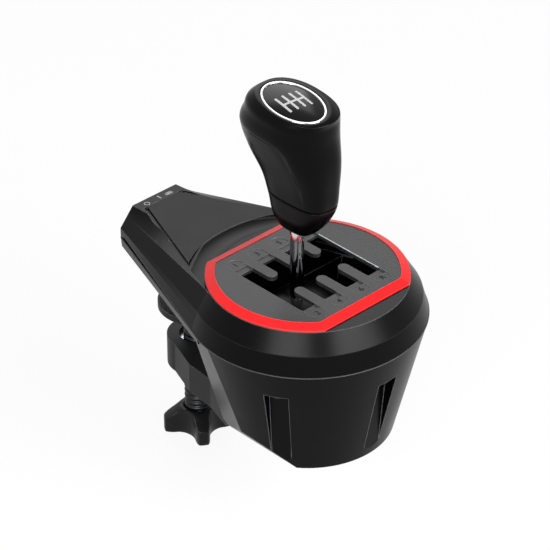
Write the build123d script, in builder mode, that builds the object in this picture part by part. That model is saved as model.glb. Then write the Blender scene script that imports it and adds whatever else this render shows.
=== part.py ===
from build123d import *
import os
from math import cos, radians, sin, sqrt, tan

os.makedirs("parts", exist_ok=True)

# Gear shifter with a seven-speed gate, which clamps to the edge of a table.
# +X is the driver's right, +Y points away from the driver and +Z is up. The origin lies
# where the clamp screw's axis meets the face that rests on the table.
grip_to_cup = 105.5
table_to_plate = 40.0

# Fits and margins
seat_gap = 0.05
running_gap = 0.05
free_gap = 0.3
overrun = 1.0
wall = 3.0

# Round part of the cover and the cup, as drops below the gate plate's top and radii
plate_thickness = 3.0
seam_radius = 77.9
bevel_top_inset = 12.1
bevel_foot_inset = 3.9
bevel_foot_drop = 15.8
seam_drop = 29.5
cup_foot_inset = 20.4
cup_drop = 114.0
cup_floor = 5.0
cup_back = 36.0
facet_beyond_seam = 3.7
facet_turn = 19.9
facet_lean = 16.5
foot_chamfer_half = 44.5
foot_chamfer_rise = 49.0

# Arm that reaches over the table, measured from the cup's axis
arm_root = 26.3
arm_tip = 146.0
tip_panel_half = 14.5
tip_rim_half = 19.25
tip_side_half = 30.5
tip_floor_half = 29.7
tip_drop = 9.2
tip_side_drop = 22.0
root_band = 1.0
root_tuck = 0.4
tray_drop = 36.5

# Panel let into the arm's top, and the dished band between it and the ring
panel_thickness = 1.5
panel_front_beyond_seam = 0.1
panel_end = 137.6
panel_edge_inset = 1.0
groove_width = 3.2
dish_start_inset = 19.9
dish_sag = 1.9
dish_rim_drop = 5.2

# Gate
ring_inset = 0.3
ring_width = 6.25
plate_flat = 47.2
ring_flat = 53.6
ring_edge_height = 0.9
ring_rise = 0.5
gate_pitch = 19.3
slot_width = 11.8
slot_near = 30.0
slot_far = 26.5
finger_reach = 9.3
slot_corner = 1.0
cover_opening_margin = 3.0
ledge_length = 5.0
ledge_depth = 1.0
tile_near_end = 43.5
tile_far_end = 42.4
tile_margin = 0.4
tile_depth = 0.35

# Recesses in the cup's wall
recess_angles = (-150, -90, -30)
recess_half_angle = 6.25
recess_top_drop = 49.0
recess_foot_drop = 108.0
recess_depth = 9.0

# Lever and its two crossing axes
pivot_above_foot = 29.0
rod_radius = 4.5
rod_into_knob = 30.0
shift_angle = 12.0

# Knob
knob_base_height = 37.0
knob_height = 90.0
knob_width = 49.2
knob_length = 69.8
knob_seam_height = 50.0
knob_lean = 5.5
badge_half_width = 16.8
badge_half_length = 23.7
badge_ring_width = 0.9
badge_thickness = 1.2
# Each row is a level: share of the height, of half the width, of half the length, and
# how far its middle lies away from the driver as a share of the length
knob_level_shares = (
    (0.0, 0.260, 0.272, -0.011),
    (0.04, 0.350, 0.387, -0.021),
    (0.09, 0.488, 0.559, -0.037),
    (0.167, 0.549, 0.665, -0.054),
    (0.311, 0.593, 0.768, -0.063),
    (0.478, 0.732, 0.874, -0.014),
    (0.644, 0.882, 0.991, 0.057),
    (0.789, 1.0, 1.0, 0.099),
    (0.9, 0.976, 0.928, 0.074),
    (0.956, 0.959, 0.888, 0.046),
    (1.0, 0.829, 0.831, 0.006),
)

# Clamp, as drops below the gate plate's top
jaw_above_foot = 14.0
jaw_below_foot = 8.0
jaw_end_radius = 20.6
jaw_bore_radius = 12.4
jaw_counterbore = 4.0
jaw_waist_half = 29.4
jaw_waist_at = 81.8
jaw_neck_half = 31.4
jaw_neck_at = 59.2
jaw_root_half = 38.7
tongue_half = 30.0
tongue_front = -18.0
tongue_thickness = 4.0
screw_radius = 9.5
screw_neck_radius = 6.5
screw_neck_length = 5.0
clamp_pad_radius = 26.3
pad_above_jaw = 28.0
clamp_pad_thickness = 5.0
facing_radius = 24.5
facing_thickness = 1.8
facing_proud = 0.4
boss_radius = 13.0
boss_height = 6.5
star_radius = 24.0
star_below_jaw = 37.0
star_shoulder = 8.0
star_height = 19.0
star_hub_radius = 12.6
star_scallop_radius = 14.6
star_scallop_out = 27.1
star_lobe_angle = 56.0
star_lobes = 4
star_cap = 5.0
rest_pad_width = 42.0
rest_pad_length = 52.0
rest_pad_corner = 5.0

# Levels and planes that several pieces share
bevel_top_radius = seam_radius - bevel_top_inset
bevel_foot_radius = seam_radius - bevel_foot_inset
cup_foot_radius = seam_radius - cup_foot_inset
facet_reach = seam_radius + facet_beyond_seam
panel_front_radius = seam_radius + panel_front_beyond_seam
dish_start_radius = seam_radius - dish_start_inset
ring_radius = bevel_top_radius - ring_inset
plate_radius = ring_radius - ring_width
pivot_drop = cup_drop - pivot_above_foot
jaw_top_drop = cup_drop - jaw_above_foot
jaw_drop = cup_drop + jaw_below_foot
clamp_pad_drop = jaw_top_drop - pad_above_jaw
star_top_drop = jaw_drop + star_below_jaw
star_tip_drop = star_top_drop + star_shoulder
star_foot_drop = star_top_drop + star_height
cover_drop = plate_thickness
room_drop = cover_drop + wall
floor_drop = cup_drop - cup_floor
lever_x = -gate_pitch / 2
gate_top = Plane((0, -grip_to_cup, table_to_plate))
cup_front = Plane(origin=gate_top.origin, x_dir=(1, 0, 0), z_dir=(0, -1, 0))
arm_side = Plane(origin=gate_top.origin, x_dir=(0, 1, 0), z_dir=(1, 0, 0))
cup_axis = Axis(gate_top.origin, (0, 0, 1))
clamp_top = Plane((0, 0, table_to_plate))
clamp_side = Plane(origin=clamp_top.origin, x_dir=(1, 0, 0), z_dir=(0, -1, 0))
clamp_axis = Axis(clamp_top.origin, (0, 0, 1))
pivot_point = gate_top.origin + Vector(lever_x, 0, -pivot_drop)
pivot_level = Plane(pivot_point)
pivot_facing_right = Plane(origin=pivot_point, x_dir=(0, 1, 0), z_dir=(1, 0, 0))
pivot_facing_front = Plane(origin=pivot_point, x_dir=(1, 0, 0), z_dir=(0, -1, 0))

arm_slope = (tip_drop - cover_drop) / (arm_tip - arm_root)


def arm_top_drop(distance):
    """How far the arm's flat top lies below the gate plate's top, at a distance from the cup's axis."""
    return cover_drop + arm_slope * (distance - arm_root)


def edge_half(distance):
    """Half the width of the arm's flat top at a distance from the cup's axis."""
    root_half = sqrt(bevel_top_radius ** 2 - arm_root ** 2)
    share = (distance - arm_root) / (arm_tip - arm_root)
    return root_half + (tip_panel_half - root_half) * share


def cone_radius(drop):
    """The cup's outer radius at a drop below the gate plate's top."""
    share = (drop - seam_drop) / (cup_drop - seam_drop)
    return seam_radius + (cup_foot_radius - seam_radius) * share


def mirrored(points):
    """Close a half outline, given from top to bottom on the right, with its mirror image."""
    return points + [(-x, z) for x, z in reversed(points)]


def gate_outline(radius, flat):
    """A circle cut straight on its near and far sides."""
    with BuildSketch(Plane.XY) as outline:
        Circle(radius)
        Rectangle(2 * radius, 2 * flat, mode=Mode.INTERSECT)
    return outline.sketch


def cover_form(inset):
    """The cover's skin, or with an inset the room inside it."""
    foot = seam_drop + (overrun if inset else 0)

    def chord(radius):
        return sqrt((radius - inset) ** 2 - arm_root ** 2) - root_tuck

    root = [
        (chord(bevel_top_radius), -cover_drop - inset),
        (chord(bevel_foot_radius), -bevel_foot_drop),
        (chord(seam_radius - root_tuck), -seam_drop + root_band),
        (chord(seam_radius), -foot),
    ]
    tip = [
        (tip_panel_half - inset, -tip_drop - inset),
        (tip_rim_half - inset, -tip_drop - inset),
        (tip_side_half - inset, -tip_side_drop),
        (tip_side_half - inset, -foot),
    ]
    with BuildPart() as form:
        with BuildSketch(cup_front):
            with BuildLine():
                Polyline(
                    (0, -cover_drop - inset),
                    (bevel_top_radius - inset, -cover_drop - inset),
                    (bevel_foot_radius - inset, -bevel_foot_drop),
                    (seam_radius - inset, -foot),
                    (0, -foot),
                    close=True,
                )
            make_face()
        revolve(axis=cup_axis)
        with BuildSketch(cup_front.offset(-arm_root)):
            with BuildLine():
                Polyline(*mirrored(root), close=True)
            make_face()
        with BuildSketch(cup_front.offset(inset - arm_tip)):
            with BuildLine():
                Polyline(*mirrored(tip), close=True)
            make_face()
        loft(ruled=True)
    return form.part


def housing_form(inset, floor):
    """The cup with its side facets and the tray under the arm, or the room inside them."""
    top = seam_drop - (overrun if inset else 0)
    foot_radius = cone_radius(cup_drop - floor)
    root = [
        (sqrt((seam_radius - inset) ** 2 - arm_root ** 2) - root_tuck, -top),
        (sqrt((cone_radius(tray_drop) - inset) ** 2 - arm_root ** 2) - root_tuck, -tray_drop + inset),
    ]
    tip = [
        (tip_side_half - inset, -top),
        (tip_floor_half - inset, -tray_drop + inset),
    ]
    with BuildPart() as form:
        with BuildSketch(cup_front):
            with BuildLine():
                Polyline(
                    (0, -top),
                    (cone_radius(top) - inset, -top),
                    (foot_radius - inset, -cup_drop + floor),
                    (0, -cup_drop + floor),
                    close=True,
                )
            make_face()
        revolve(axis=cup_axis)
        back = Plane(origin=gate_top.origin + Vector(0, cup_back - inset, 0), z_dir=(0, 1, 0))
        split(bisect_by=back, keep=Keep.BOTTOM)
        for side in (-1, 1):
            facet_normal = Vector(
                side * cos(radians(facet_lean)) * cos(radians(facet_turn)),
                cos(radians(facet_lean)) * sin(radians(facet_turn)),
                -sin(radians(facet_lean)),
            )
            facet_point = gate_top.origin + facet_normal * (facet_reach - inset)
            split(bisect_by=Plane(origin=facet_point, z_dir=facet_normal), keep=Keep.BOTTOM)
            foot_normal = Vector(
                side * sin(radians(foot_chamfer_rise)), 0, -cos(radians(foot_chamfer_rise))
            )
            foot_point = gate_top.origin + Vector(side * foot_chamfer_half, 0, -cup_drop)
            foot_point = foot_point - foot_normal * inset
            split(bisect_by=Plane(origin=foot_point, z_dir=foot_normal), keep=Keep.BOTTOM)
        with BuildSketch(cup_front.offset(-arm_root)):
            with BuildLine():
                Polyline(*mirrored(root), close=True)
            make_face()
        with BuildSketch(cup_front.offset(inset - arm_tip)):
            with BuildLine():
                Polyline(*mirrored(tip), close=True)
            make_face()
        loft(ruled=True)
    return form.part


def recess_form(grow):
    """The three upright recesses, deep at the top and running out at the foot."""
    with BuildPart() as form:
        for angle in recess_angles:
            for drop, depth in ((recess_top_drop - grow, recess_depth), (recess_foot_drop, 0)):
                inner = cone_radius(drop) - depth - grow
                outer = cone_radius(drop) + overrun
                spread = tan(radians(recess_half_angle))
                with BuildSketch(gate_top.offset(-drop).rotated((0, 0, angle))):
                    with BuildLine():
                        Polyline(
                            (inner, inner * spread + grow),
                            (outer, outer * spread + grow),
                            (outer, -outer * spread - grow),
                            (inner, -inner * spread - grow),
                            close=True,
                        )
                    make_face()
            loft(ruled=True)
    return form.part


# Screws and the posts that they hold
case_post_radius = 4.0
case_post_inset = 9.4
case_post_arm = (28.0, 95.0)
case_screw_radius = 1.6
case_screw_bite = 8.0
case_head_radius = 3.0
case_head_height = 2.4
gate_screw_place = (48.0, 19.0)
gate_screw_radius = 1.5
gate_screw_bite = 1.8
gate_head_radius = 2.8
gate_head_height = 1.8
jaw_screw_half = 20.0
jaw_screw_near = -8.0
jaw_screw_far = 24.0
jaw_screw_radius = 2.5
jaw_head_radius = 4.5
jaw_head_height = 2.8
jaw_screw_bite = 3.5
cradle_screw_half = (20.0, 17.0)
cradle_screw_radius = 2.0
cradle_screw_bite = 3.5
cradle_head_radius = 3.6
cradle_head_height = 2.2

# Sockets and board in the arm
round_socket_x = -11.3
flat_socket_x = 8.0
socket_drop = 20.0
round_socket_radius = 4.75
round_socket_depth = 8.0
round_socket_body = 13.0
round_socket_length = 11.0
socket_rim_gap = 0.8
flat_socket_width = 9.0
flat_socket_height = 4.6
flat_socket_depth = 6.5
flat_socket_wall = 1.0
board_thickness = 1.6
board_length = 58.0
board_half = 20.0
board_post_radius = 2.6
board_post_inset = 4.0

# Lever mechanism, measured from the point where the two axes cross
axle_radius = 4.0
hub_half = 10.0
hub_radius = 9.0
hub_boss_radius = 8.0
hub_boss_height = 22.0
hub_flange_radius = 15.5
hub_flange_thickness = 5.0
rod_foot_height = 6.5
side_play = 0.8
yoke_bar = 7.0
yoke_inner_half = 18.5
yoke_height = 12.0
pin_radius = 4.0
pin_into_yoke = 6.0
cradle_gap = 0.6
upright_thickness = 6.0
upright_boss_radius = 9.0
bush_wall = 1.5
pin_proud = 0.5
front_pin_reach = 44.0
cradle_base_thickness = 4.0
cradle_base_half = 25.0
detent_reach = 12.0
detent_depth = 0.6
detent_places = 3
dimple_radius = 1.2
plunger_radius = 2.9
plunger_length = 7.0
barrel_wall = 1.6
barrel_length = 17.0
plug_length = 3.0
detent_wire = 0.35
detent_turns = 4
centring_wire = 1.2
centring_radius = 6.5
centring_turns = 4.5
wire_sides = 8
centring_leg = 11.0
centring_tab_thickness = 2.6
magnet_thickness = 2.0
sensor_half = 8.0
sensor_gap = 1.6
sensor_post_thickness = 2.4
sensor_rib = 2.5
cap_below_plate = 15.0
cap_thickness = 1.4
cap_reach = 37.5
cap_far_reach = 16.0
cap_collar_radius = 8.0
cap_collar_height = 5.0

# Places worked out from the sizes above
case_post_reach = seam_radius - case_post_inset
cap_radius = pivot_drop - cap_below_plate
finger_width = gate_pitch - slot_width
channel_half = 2 * gate_pitch - finger_width / 2
case_posts_cup = [
    (case_post_reach * cos(radians(angle)), case_post_reach * sin(radians(angle)))
    for angle in recess_angles
]
case_posts_arm = [(side * case_post_arm[0], case_post_arm[1]) for side in (-1, 1)]
gate_screws_at = [
    (side * gate_screw_place[0], end * gate_screw_place[1]) for side in (-1, 1) for end in (-1, 1)
]
jaw_screws_at = [
    (side * jaw_screw_half, along) for side in (-1, 1) for along in (jaw_screw_near, jaw_screw_far)
]
cradle_screws_at = [
    (side * cradle_screw_half[0], end * cradle_screw_half[1]) for side in (-1, 1) for end in (-1, 1)
]
board_drop = socket_drop + round_socket_body / 2
board_end = arm_tip - wall - free_gap
board_middle = board_end - board_length / 2
board_posts = [
    (
        side * (board_half - board_post_inset),
        board_middle + end * (board_length / 2 - board_post_inset),
    )
    for side in (-1, 1)
    for end in (-1, 1)
]
pivot_to_floor = floor_drop - pivot_drop
yoke_half = hub_half + side_play + yoke_bar
yoke_length_half = yoke_inner_half + yoke_bar
upright_start = yoke_length_half + cradle_gap
upright_end = upright_start + upright_thickness
bush_radius = pin_radius + running_gap + bush_wall
pivot_facing_left = Plane(origin=pivot_point, x_dir=(0, -1, 0), z_dir=(-1, 0, 0))
pivot_facing_back = Plane(origin=pivot_point, x_dir=(-1, 0, 0), z_dir=(0, 1, 0))
tip_face = cup_front.offset(-arm_tip)


def edge_outline(front_radius, end, inset, end_inset):
    """The arm's flat top from the dished band's arc to a cross line, drawn in at its sides."""
    near = arm_root
    with BuildSketch(Plane.XY) as outline:
        with BuildLine():
            Polyline(
                (edge_half(near) - inset, near),
                (edge_half(end) - end_inset, end),
                (-edge_half(end) + end_inset, end),
                (-edge_half(near) + inset, near),
                close=True,
            )
        make_face()
        Circle(front_radius, mode=Mode.SUBTRACT)
    return outline.sketch


def arm_top_slab(depth):
    """A slab under the arm's sloping flat top, wider and longer than the arm."""
    with BuildPart() as slab:
        with BuildSketch(arm_side):
            with BuildLine():
                Polyline(
                    (0, -arm_top_drop(0)),
                    (arm_tip + overrun, -arm_top_drop(arm_tip + overrun)),
                    (arm_tip + overrun, -arm_top_drop(arm_tip + overrun) - depth),
                    (0, -arm_top_drop(0) - depth),
                    close=True,
                )
            make_face()
        extrude(amount=seam_radius, both=True)
    return slab.part


def panel_form(inset, end_inset, end, depth):
    """A piece of the arm's top skin with the panel's outline."""
    with BuildPart() as form:
        add(arm_top_slab(depth))
        with BuildSketch(gate_top.offset(-seam_drop)):
            add(edge_outline(panel_front_radius, end, inset, end_inset))
        extrude(amount=seam_drop + overrun, mode=Mode.INTERSECT)
    return form.part


def dish_form(grow):
    """The shallow band that sinks from the panel's arc to the ring, or the skin below it."""
    near = dish_start_radius - grow
    far = panel_front_radius + grow
    rim = -dish_rim_drop - grow
    with BuildPart() as form:
        with BuildSketch(cup_front):
            with BuildLine():
                ThreePointArc((near, rim), ((near + far) / 2, rim - dish_sag), (far, rim))
                Polyline((far, rim), (far, overrun), (near, overrun), (near, rim))
            make_face()
        revolve(axis=cup_axis)
        with BuildSketch(gate_top.offset(-seam_drop)):
            with BuildLine():
                Polyline(
                    (edge_half(arm_root), arm_root),
                    (edge_half(arm_tip), arm_tip),
                    (-edge_half(arm_tip), arm_tip),
                    (-edge_half(arm_root), arm_root),
                    close=True,
                )
            make_face()
            if not grow:
                add(
                    gate_outline(ring_radius + free_gap, ring_flat + free_gap),
                    mode=Mode.SUBTRACT,
                )
        extrude(amount=seam_drop + 2 * overrun, mode=Mode.INTERSECT)
    return form.part


# The cover's room, with the skin under the dished band left standing
with BuildPart() as cover_room:
    add(cover_form(wall))
    add(dish_form(wall), mode=Mode.SUBTRACT)

# Cover
with BuildPart() as top_cover:
    add(cover_form(0))
    add(cover_room.part, mode=Mode.SUBTRACT)
    for posts, rise in (
        (case_posts_cup, seam_drop - bevel_foot_drop),
        (case_posts_arm, seam_drop - arm_top_drop(case_post_arm[1]) - wall / 2),
    ):
        with BuildSketch(gate_top.offset(-seam_drop)):
            with Locations(*posts):
                Circle(case_post_radius)
        extrude(amount=rise)
    with BuildSketch(gate_top.offset(-seam_drop)):
        with Locations(*case_posts_cup, *case_posts_arm):
            Circle(case_screw_radius + seat_gap)
    extrude(amount=case_screw_bite + seat_gap, mode=Mode.SUBTRACT)
    with BuildSketch(gate_top.offset(-room_drop)):
        Rectangle(
            2 * (channel_half + cover_opening_margin), 2 * (slot_near + cover_opening_margin)
        )
        with Locations(*gate_screws_at):
            Circle(gate_screw_radius + seat_gap)
    extrude(amount=wall, mode=Mode.SUBTRACT)
    add(dish_form(0), mode=Mode.SUBTRACT)
    add(
        panel_form(panel_edge_inset, panel_edge_inset, panel_end, panel_thickness),
        mode=Mode.SUBTRACT,
    )
    with BuildSketch(tip_face):
        with Locations((round_socket_x, -socket_drop)):
            Circle(round_socket_radius + socket_rim_gap)
        with Locations((flat_socket_x, -socket_drop)):
            SlotOverall(flat_socket_width + 2 * socket_rim_gap, flat_socket_height + 2 * socket_rim_gap)
    extrude(amount=wall + overrun, mode=Mode.SUBTRACT)

top_cover.part.label = "top_cover"
export_step(top_cover.part, "parts/top_cover.step")

# Panel let into the arm, drawn in towards the tip so that a slim groove opens beside it
with BuildPart() as arm_panel:
    add(
        panel_form(
            panel_edge_inset + seat_gap,
            panel_edge_inset + groove_width,
            panel_end - seat_gap,
            panel_thickness,
        )
    )

arm_panel.part.label = "arm_panel"
export_step(arm_panel.part, "parts/arm_panel.step")

# Gate plate with its four columns joined by a cross channel
with BuildPart() as gate_plate:
    with BuildSketch(gate_top.offset(-plate_thickness)):
        add(gate_outline(plate_radius, plate_flat))
        with Locations((0, (slot_far - slot_near) / 2)):
            RectangleRounded(
                2 * channel_half, slot_near + slot_far, slot_corner, mode=Mode.SUBTRACT
            )
        for column in (-1, 0, 1):
            for end, reach in ((-1, slot_near), (1, slot_far)):
                with Locations((column * gate_pitch, end * (finger_reach + reach + finger_width) / 2)):
                    SlotOverall(reach + finger_width - finger_reach, finger_width, rotation=90)
    extrude(amount=plate_thickness)
    with BuildSketch(gate_top.offset(-plate_thickness)):
        with Locations(*gate_screws_at):
            Circle(gate_screw_radius + seat_gap)
    extrude(amount=gate_screw_bite + seat_gap, mode=Mode.SUBTRACT)
    # A sunk tongue for the number past each slot's end, and a deeper ledge at the end itself
    with BuildSketch(gate_top):
        for column in (-3, -1, 1, 3):
            for end, reach, tile_end in ((-1, slot_near, tile_near_end), (1, slot_far, tile_far_end)):
                tile_middle = tile_end - slot_width / 2
                with Locations((column * gate_pitch / 2, end * tile_middle)):
                    Circle(slot_width / 2 - tile_margin)
                with Locations((column * gate_pitch / 2, end * (reach - overrun + tile_middle) / 2)):
                    Rectangle(slot_width - 2 * tile_margin, tile_middle - reach + overrun)
    extrude(amount=-tile_depth, mode=Mode.SUBTRACT)
    with BuildSketch(gate_top):
        for column in (-3, -1, 1, 3):
            for end, reach in ((-1, slot_near), (1, slot_far)):
                with Locations((column * gate_pitch / 2, end * (reach + (ledge_length - overrun) / 2))):
                    Rectangle(slot_width - 2 * tile_margin, ledge_length + overrun)
    extrude(amount=-ledge_depth, mode=Mode.SUBTRACT)

gate_plate.part.label = "gate_plate"
export_step(gate_plate.part, "parts/gate_plate.step")

# Trim ring, whose top slopes down from the plate to the cover
with BuildPart() as gate_ring:
    with BuildSketch(gate_top.offset(-cover_drop)):
        add(gate_outline(ring_radius, ring_flat))
    extrude(amount=ring_edge_height)
    with BuildSketch(gate_top.offset(ring_edge_height - cover_drop)):
        add(gate_outline(ring_radius, ring_flat))
    with BuildSketch(gate_top.offset(ring_rise)):
        add(gate_outline(plate_radius + seat_gap, plate_flat + seat_gap))
    loft(ruled=True)
    with BuildSketch(gate_top.offset(-cover_drop)):
        add(gate_outline(plate_radius + seat_gap, plate_flat + seat_gap))
    extrude(amount=cover_drop + ring_rise, mode=Mode.SUBTRACT)

gate_ring.part.label = "gate_ring"
export_step(gate_ring.part, "parts/gate_ring.step")

# Screws that pull the gate plate down on the cover from below
with BuildPart() as gate_screws:
    with BuildSketch(gate_top.offset(-room_drop - gate_head_height)):
        with Locations(*gate_screws_at):
            Circle(gate_head_radius)
    extrude(amount=gate_head_height)
    with BuildSketch(gate_top.offset(-room_drop)):
        with Locations(*gate_screws_at):
            Circle(gate_screw_radius)
    extrude(amount=wall + gate_screw_bite)

gate_screws.part.label = "gate_screws"
export_step(gate_screws.part, "parts/gate_screws.step")

# The cup's room, with the walls behind the recesses and the screw posts left standing
with BuildPart() as cup_room:
    add(housing_form(wall, cup_floor))
    add(recess_form(wall), mode=Mode.SUBTRACT)
    with BuildSketch(gate_top.offset(-recess_top_drop)):
        with Locations(*case_posts_cup):
            Circle(case_post_radius)
    extrude(amount=recess_top_drop - seam_drop, mode=Mode.SUBTRACT)

# Cup with its recesses, and the tray under the arm
with BuildPart() as lower_housing:
    add(housing_form(0, 0))
    add(cup_room.part, mode=Mode.SUBTRACT)
    add(recess_form(0), mode=Mode.SUBTRACT)
    with BuildSketch(gate_top.offset(-tray_drop + wall)):
        with Locations(*case_posts_arm):
            Circle(case_post_radius)
    extrude(amount=tray_drop - wall - seam_drop)
    with BuildSketch(gate_top.offset(-tray_drop + wall)):
        with Locations(*board_posts):
            Circle(board_post_radius)
    extrude(amount=tray_drop - wall - board_drop - board_thickness)
    with BuildSketch(gate_top.offset(-recess_top_drop)):
        with Locations(*case_posts_cup):
            Circle(case_screw_radius + seat_gap)
    extrude(amount=recess_top_drop - seam_drop, mode=Mode.SUBTRACT)
    with BuildSketch(gate_top.offset(-tray_drop)):
        with Locations(*case_posts_arm):
            Circle(case_screw_radius + seat_gap)
    extrude(amount=tray_drop - seam_drop, mode=Mode.SUBTRACT)
    with BuildSketch(gate_top.offset(-cup_drop)):
        with Locations(*jaw_screws_at):
            Circle(jaw_screw_radius + seat_gap)
    extrude(amount=jaw_screw_bite + seat_gap, mode=Mode.SUBTRACT)
    with BuildSketch(pivot_level.offset(-pivot_to_floor)):
        with Locations(*cradle_screws_at):
            Circle(cradle_screw_radius + seat_gap)
    extrude(amount=-cradle_screw_bite - seat_gap, mode=Mode.SUBTRACT)

lower_housing.part.label = "lower_housing"
export_step(lower_housing.part, "parts/lower_housing.step")

# Screws that join the two halves of the casing, put in from below
with BuildPart() as case_screws:
    for posts, foot in ((case_posts_cup, recess_top_drop), (case_posts_arm, tray_drop)):
        with BuildSketch(gate_top.offset(-foot - case_head_height)):
            with Locations(*posts):
                Circle(case_head_radius)
        extrude(amount=case_head_height)
        with BuildSketch(gate_top.offset(-foot)):
            with Locations(*posts):
                Circle(case_screw_radius)
        extrude(amount=foot - seam_drop + case_screw_bite)

case_screws.part.label = "case_screws"
export_step(case_screws.part, "parts/case_screws.step")

# Rubber pad under the arm, which rests on the table
with BuildPart() as rest_pad:
    with BuildSketch(Plane.XY):
        RectangleRounded(rest_pad_width, rest_pad_length, rest_pad_corner)
    extrude(amount=table_to_plate - tray_drop)

rest_pad.part.label = "rest_pad"
export_step(rest_pad.part, "parts/rest_pad.step")

# Board behind the arm's tip, on four posts of the tray
with BuildPart() as main_board:
    with BuildSketch(gate_top.offset(-board_drop - board_thickness)):
        with Locations((0, board_middle)):
            Rectangle(2 * board_half, board_length)
    extrude(amount=board_thickness)

main_board.part.label = "main_board"
export_step(main_board.part, "parts/main_board.step")

# Round plug socket
with BuildPart() as round_socket:
    with BuildSketch(cup_front.offset(-board_end)):
        with Locations((round_socket_x, -socket_drop)):
            Rectangle(round_socket_body, round_socket_body)
    extrude(amount=round_socket_length)
    with BuildSketch(cup_front.offset(-board_end)):
        with Locations((round_socket_x, -socket_drop)):
            Circle(round_socket_radius)
    extrude(amount=round_socket_depth, mode=Mode.SUBTRACT)

round_socket.part.label = "round_socket"
export_step(round_socket.part, "parts/round_socket.step")

# Small flat socket, whose shell stands on the board by its foot
with BuildPart() as flat_socket:
    flat_body_height = flat_socket_height + 2 * flat_socket_wall
    flat_body_foot = round_socket_body / 2 - flat_body_height / 2
    with BuildSketch(cup_front.offset(-board_end)):
        with Locations((flat_socket_x, -socket_drop - flat_body_foot / 2)):
            Rectangle(flat_socket_width + 2 * flat_socket_wall, flat_body_height + flat_body_foot)
    extrude(amount=flat_socket_depth + flat_socket_wall)
    with BuildSketch(cup_front.offset(-board_end)):
        with Locations((flat_socket_x, -socket_drop)):
            SlotOverall(flat_socket_width, flat_socket_height)
    extrude(amount=flat_socket_depth, mode=Mode.SUBTRACT)

flat_socket.part.label = "flat_socket"
export_step(flat_socket.part, "parts/flat_socket.step")

# Cradle screwed to the cup's floor: a base, two uprights and a post for the select sensor
with BuildPart() as cradle:
    base_front = front_pin_reach + magnet_thickness + sensor_gap + board_thickness + sensor_post_thickness
    with BuildSketch(pivot_level.offset(-pivot_to_floor)):
        with Locations((0, (upright_end - base_front) / 2)):
            Rectangle(2 * upright_boss_radius, upright_end + base_front)
        Rectangle(2 * cradle_base_half, 2 * upright_start)
    extrude(amount=cradle_base_thickness)
    for facing in (pivot_facing_front, pivot_facing_back):
        with BuildSketch(facing.offset(upright_start)):
            Circle(upright_boss_radius)
            with Locations((0, -pivot_to_floor / 2)):
                Rectangle(2 * upright_boss_radius, pivot_to_floor)
            Circle(bush_radius + seat_gap, mode=Mode.SUBTRACT)
        extrude(amount=upright_thickness)
    tab_start = centring_radius + centring_wire / 2 + free_gap
    tab_end = tab_start + centring_tab_thickness
    with BuildSketch(pivot_facing_front.offset(upright_start)):
        with Locations((-(tab_start + tab_end) / 2, 0)):
            Rectangle(tab_end - tab_start, 2 * (centring_radius - centring_wire / 2 - free_gap))
    extrude(amount=front_pin_reach - upright_start)
    with BuildSketch(pivot_facing_front.offset(base_front - sensor_post_thickness)):
        with Locations((0, (sensor_half - pivot_to_floor) / 2)):
            Rectangle(2 * sensor_half, pivot_to_floor + sensor_half)
    extrude(amount=sensor_post_thickness)
    with BuildSketch(pivot_level.offset(-pivot_to_floor)):
        with Locations(*cradle_screws_at):
            Circle(cradle_screw_radius + seat_gap)
    extrude(amount=cradle_base_thickness, mode=Mode.SUBTRACT)

cradle.part.label = "cradle"
export_step(cradle.part, "parts/cradle.step")

# Screws of the cradle
with BuildPart() as cradle_screws:
    with BuildSketch(pivot_level.offset(cradle_base_thickness - pivot_to_floor)):
        with Locations(*cradle_screws_at):
            Circle(cradle_head_radius)
    extrude(amount=cradle_head_height)
    with BuildSketch(pivot_level.offset(cradle_base_thickness - pivot_to_floor)):
        with Locations(*cradle_screws_at):
            Circle(cradle_screw_radius)
    extrude(amount=-cradle_base_thickness - cradle_screw_bite)

cradle_screws.part.label = "cradle_screws"
export_step(cradle_screws.part, "parts/cradle_screws.step")

# Bushes in the uprights
with BuildPart() as cradle_bushes:
    for facing in (pivot_facing_front, pivot_facing_back):
        with BuildSketch(facing.offset(upright_start)):
            Circle(bush_radius)
            Circle(pin_radius + running_gap, mode=Mode.SUBTRACT)
        extrude(amount=upright_thickness)

cradle_bushes.part.label = "cradle_bushes"
export_step(cradle_bushes.part, "parts/cradle_bushes.step")

# Torsion spring round the front pin, its legs either side of the cradle's tab
with BuildPart() as centring_spring:
    coil_pitch = (front_pin_reach - upright_end - 2 * centring_wire) / centring_turns
    with BuildLine() as coil_line:
        coil = Helix(
            coil_pitch,
            coil_pitch * centring_turns,
            centring_radius,
            center=pivot_point - Vector(0, upright_end + centring_wire, 0),
            direction=(0, -1, 0),
        )
    with BuildSketch(Plane(origin=coil @ 0, z_dir=coil % 0)):
        RegularPolygon(centring_wire / 2, wire_sides)
    sweep(path=coil, is_frenet=True)
    for leg in (Plane(origin=coil @ 0, z_dir=-(coil % 0)), Plane(origin=coil @ 1, z_dir=coil % 1)):
        with BuildSketch(leg):
            RegularPolygon(centring_wire / 2, wire_sides)
        extrude(amount=centring_leg)

centring_spring.part.label = "centring_spring"
export_step(centring_spring.part, "parts/centring_spring.step")

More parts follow.
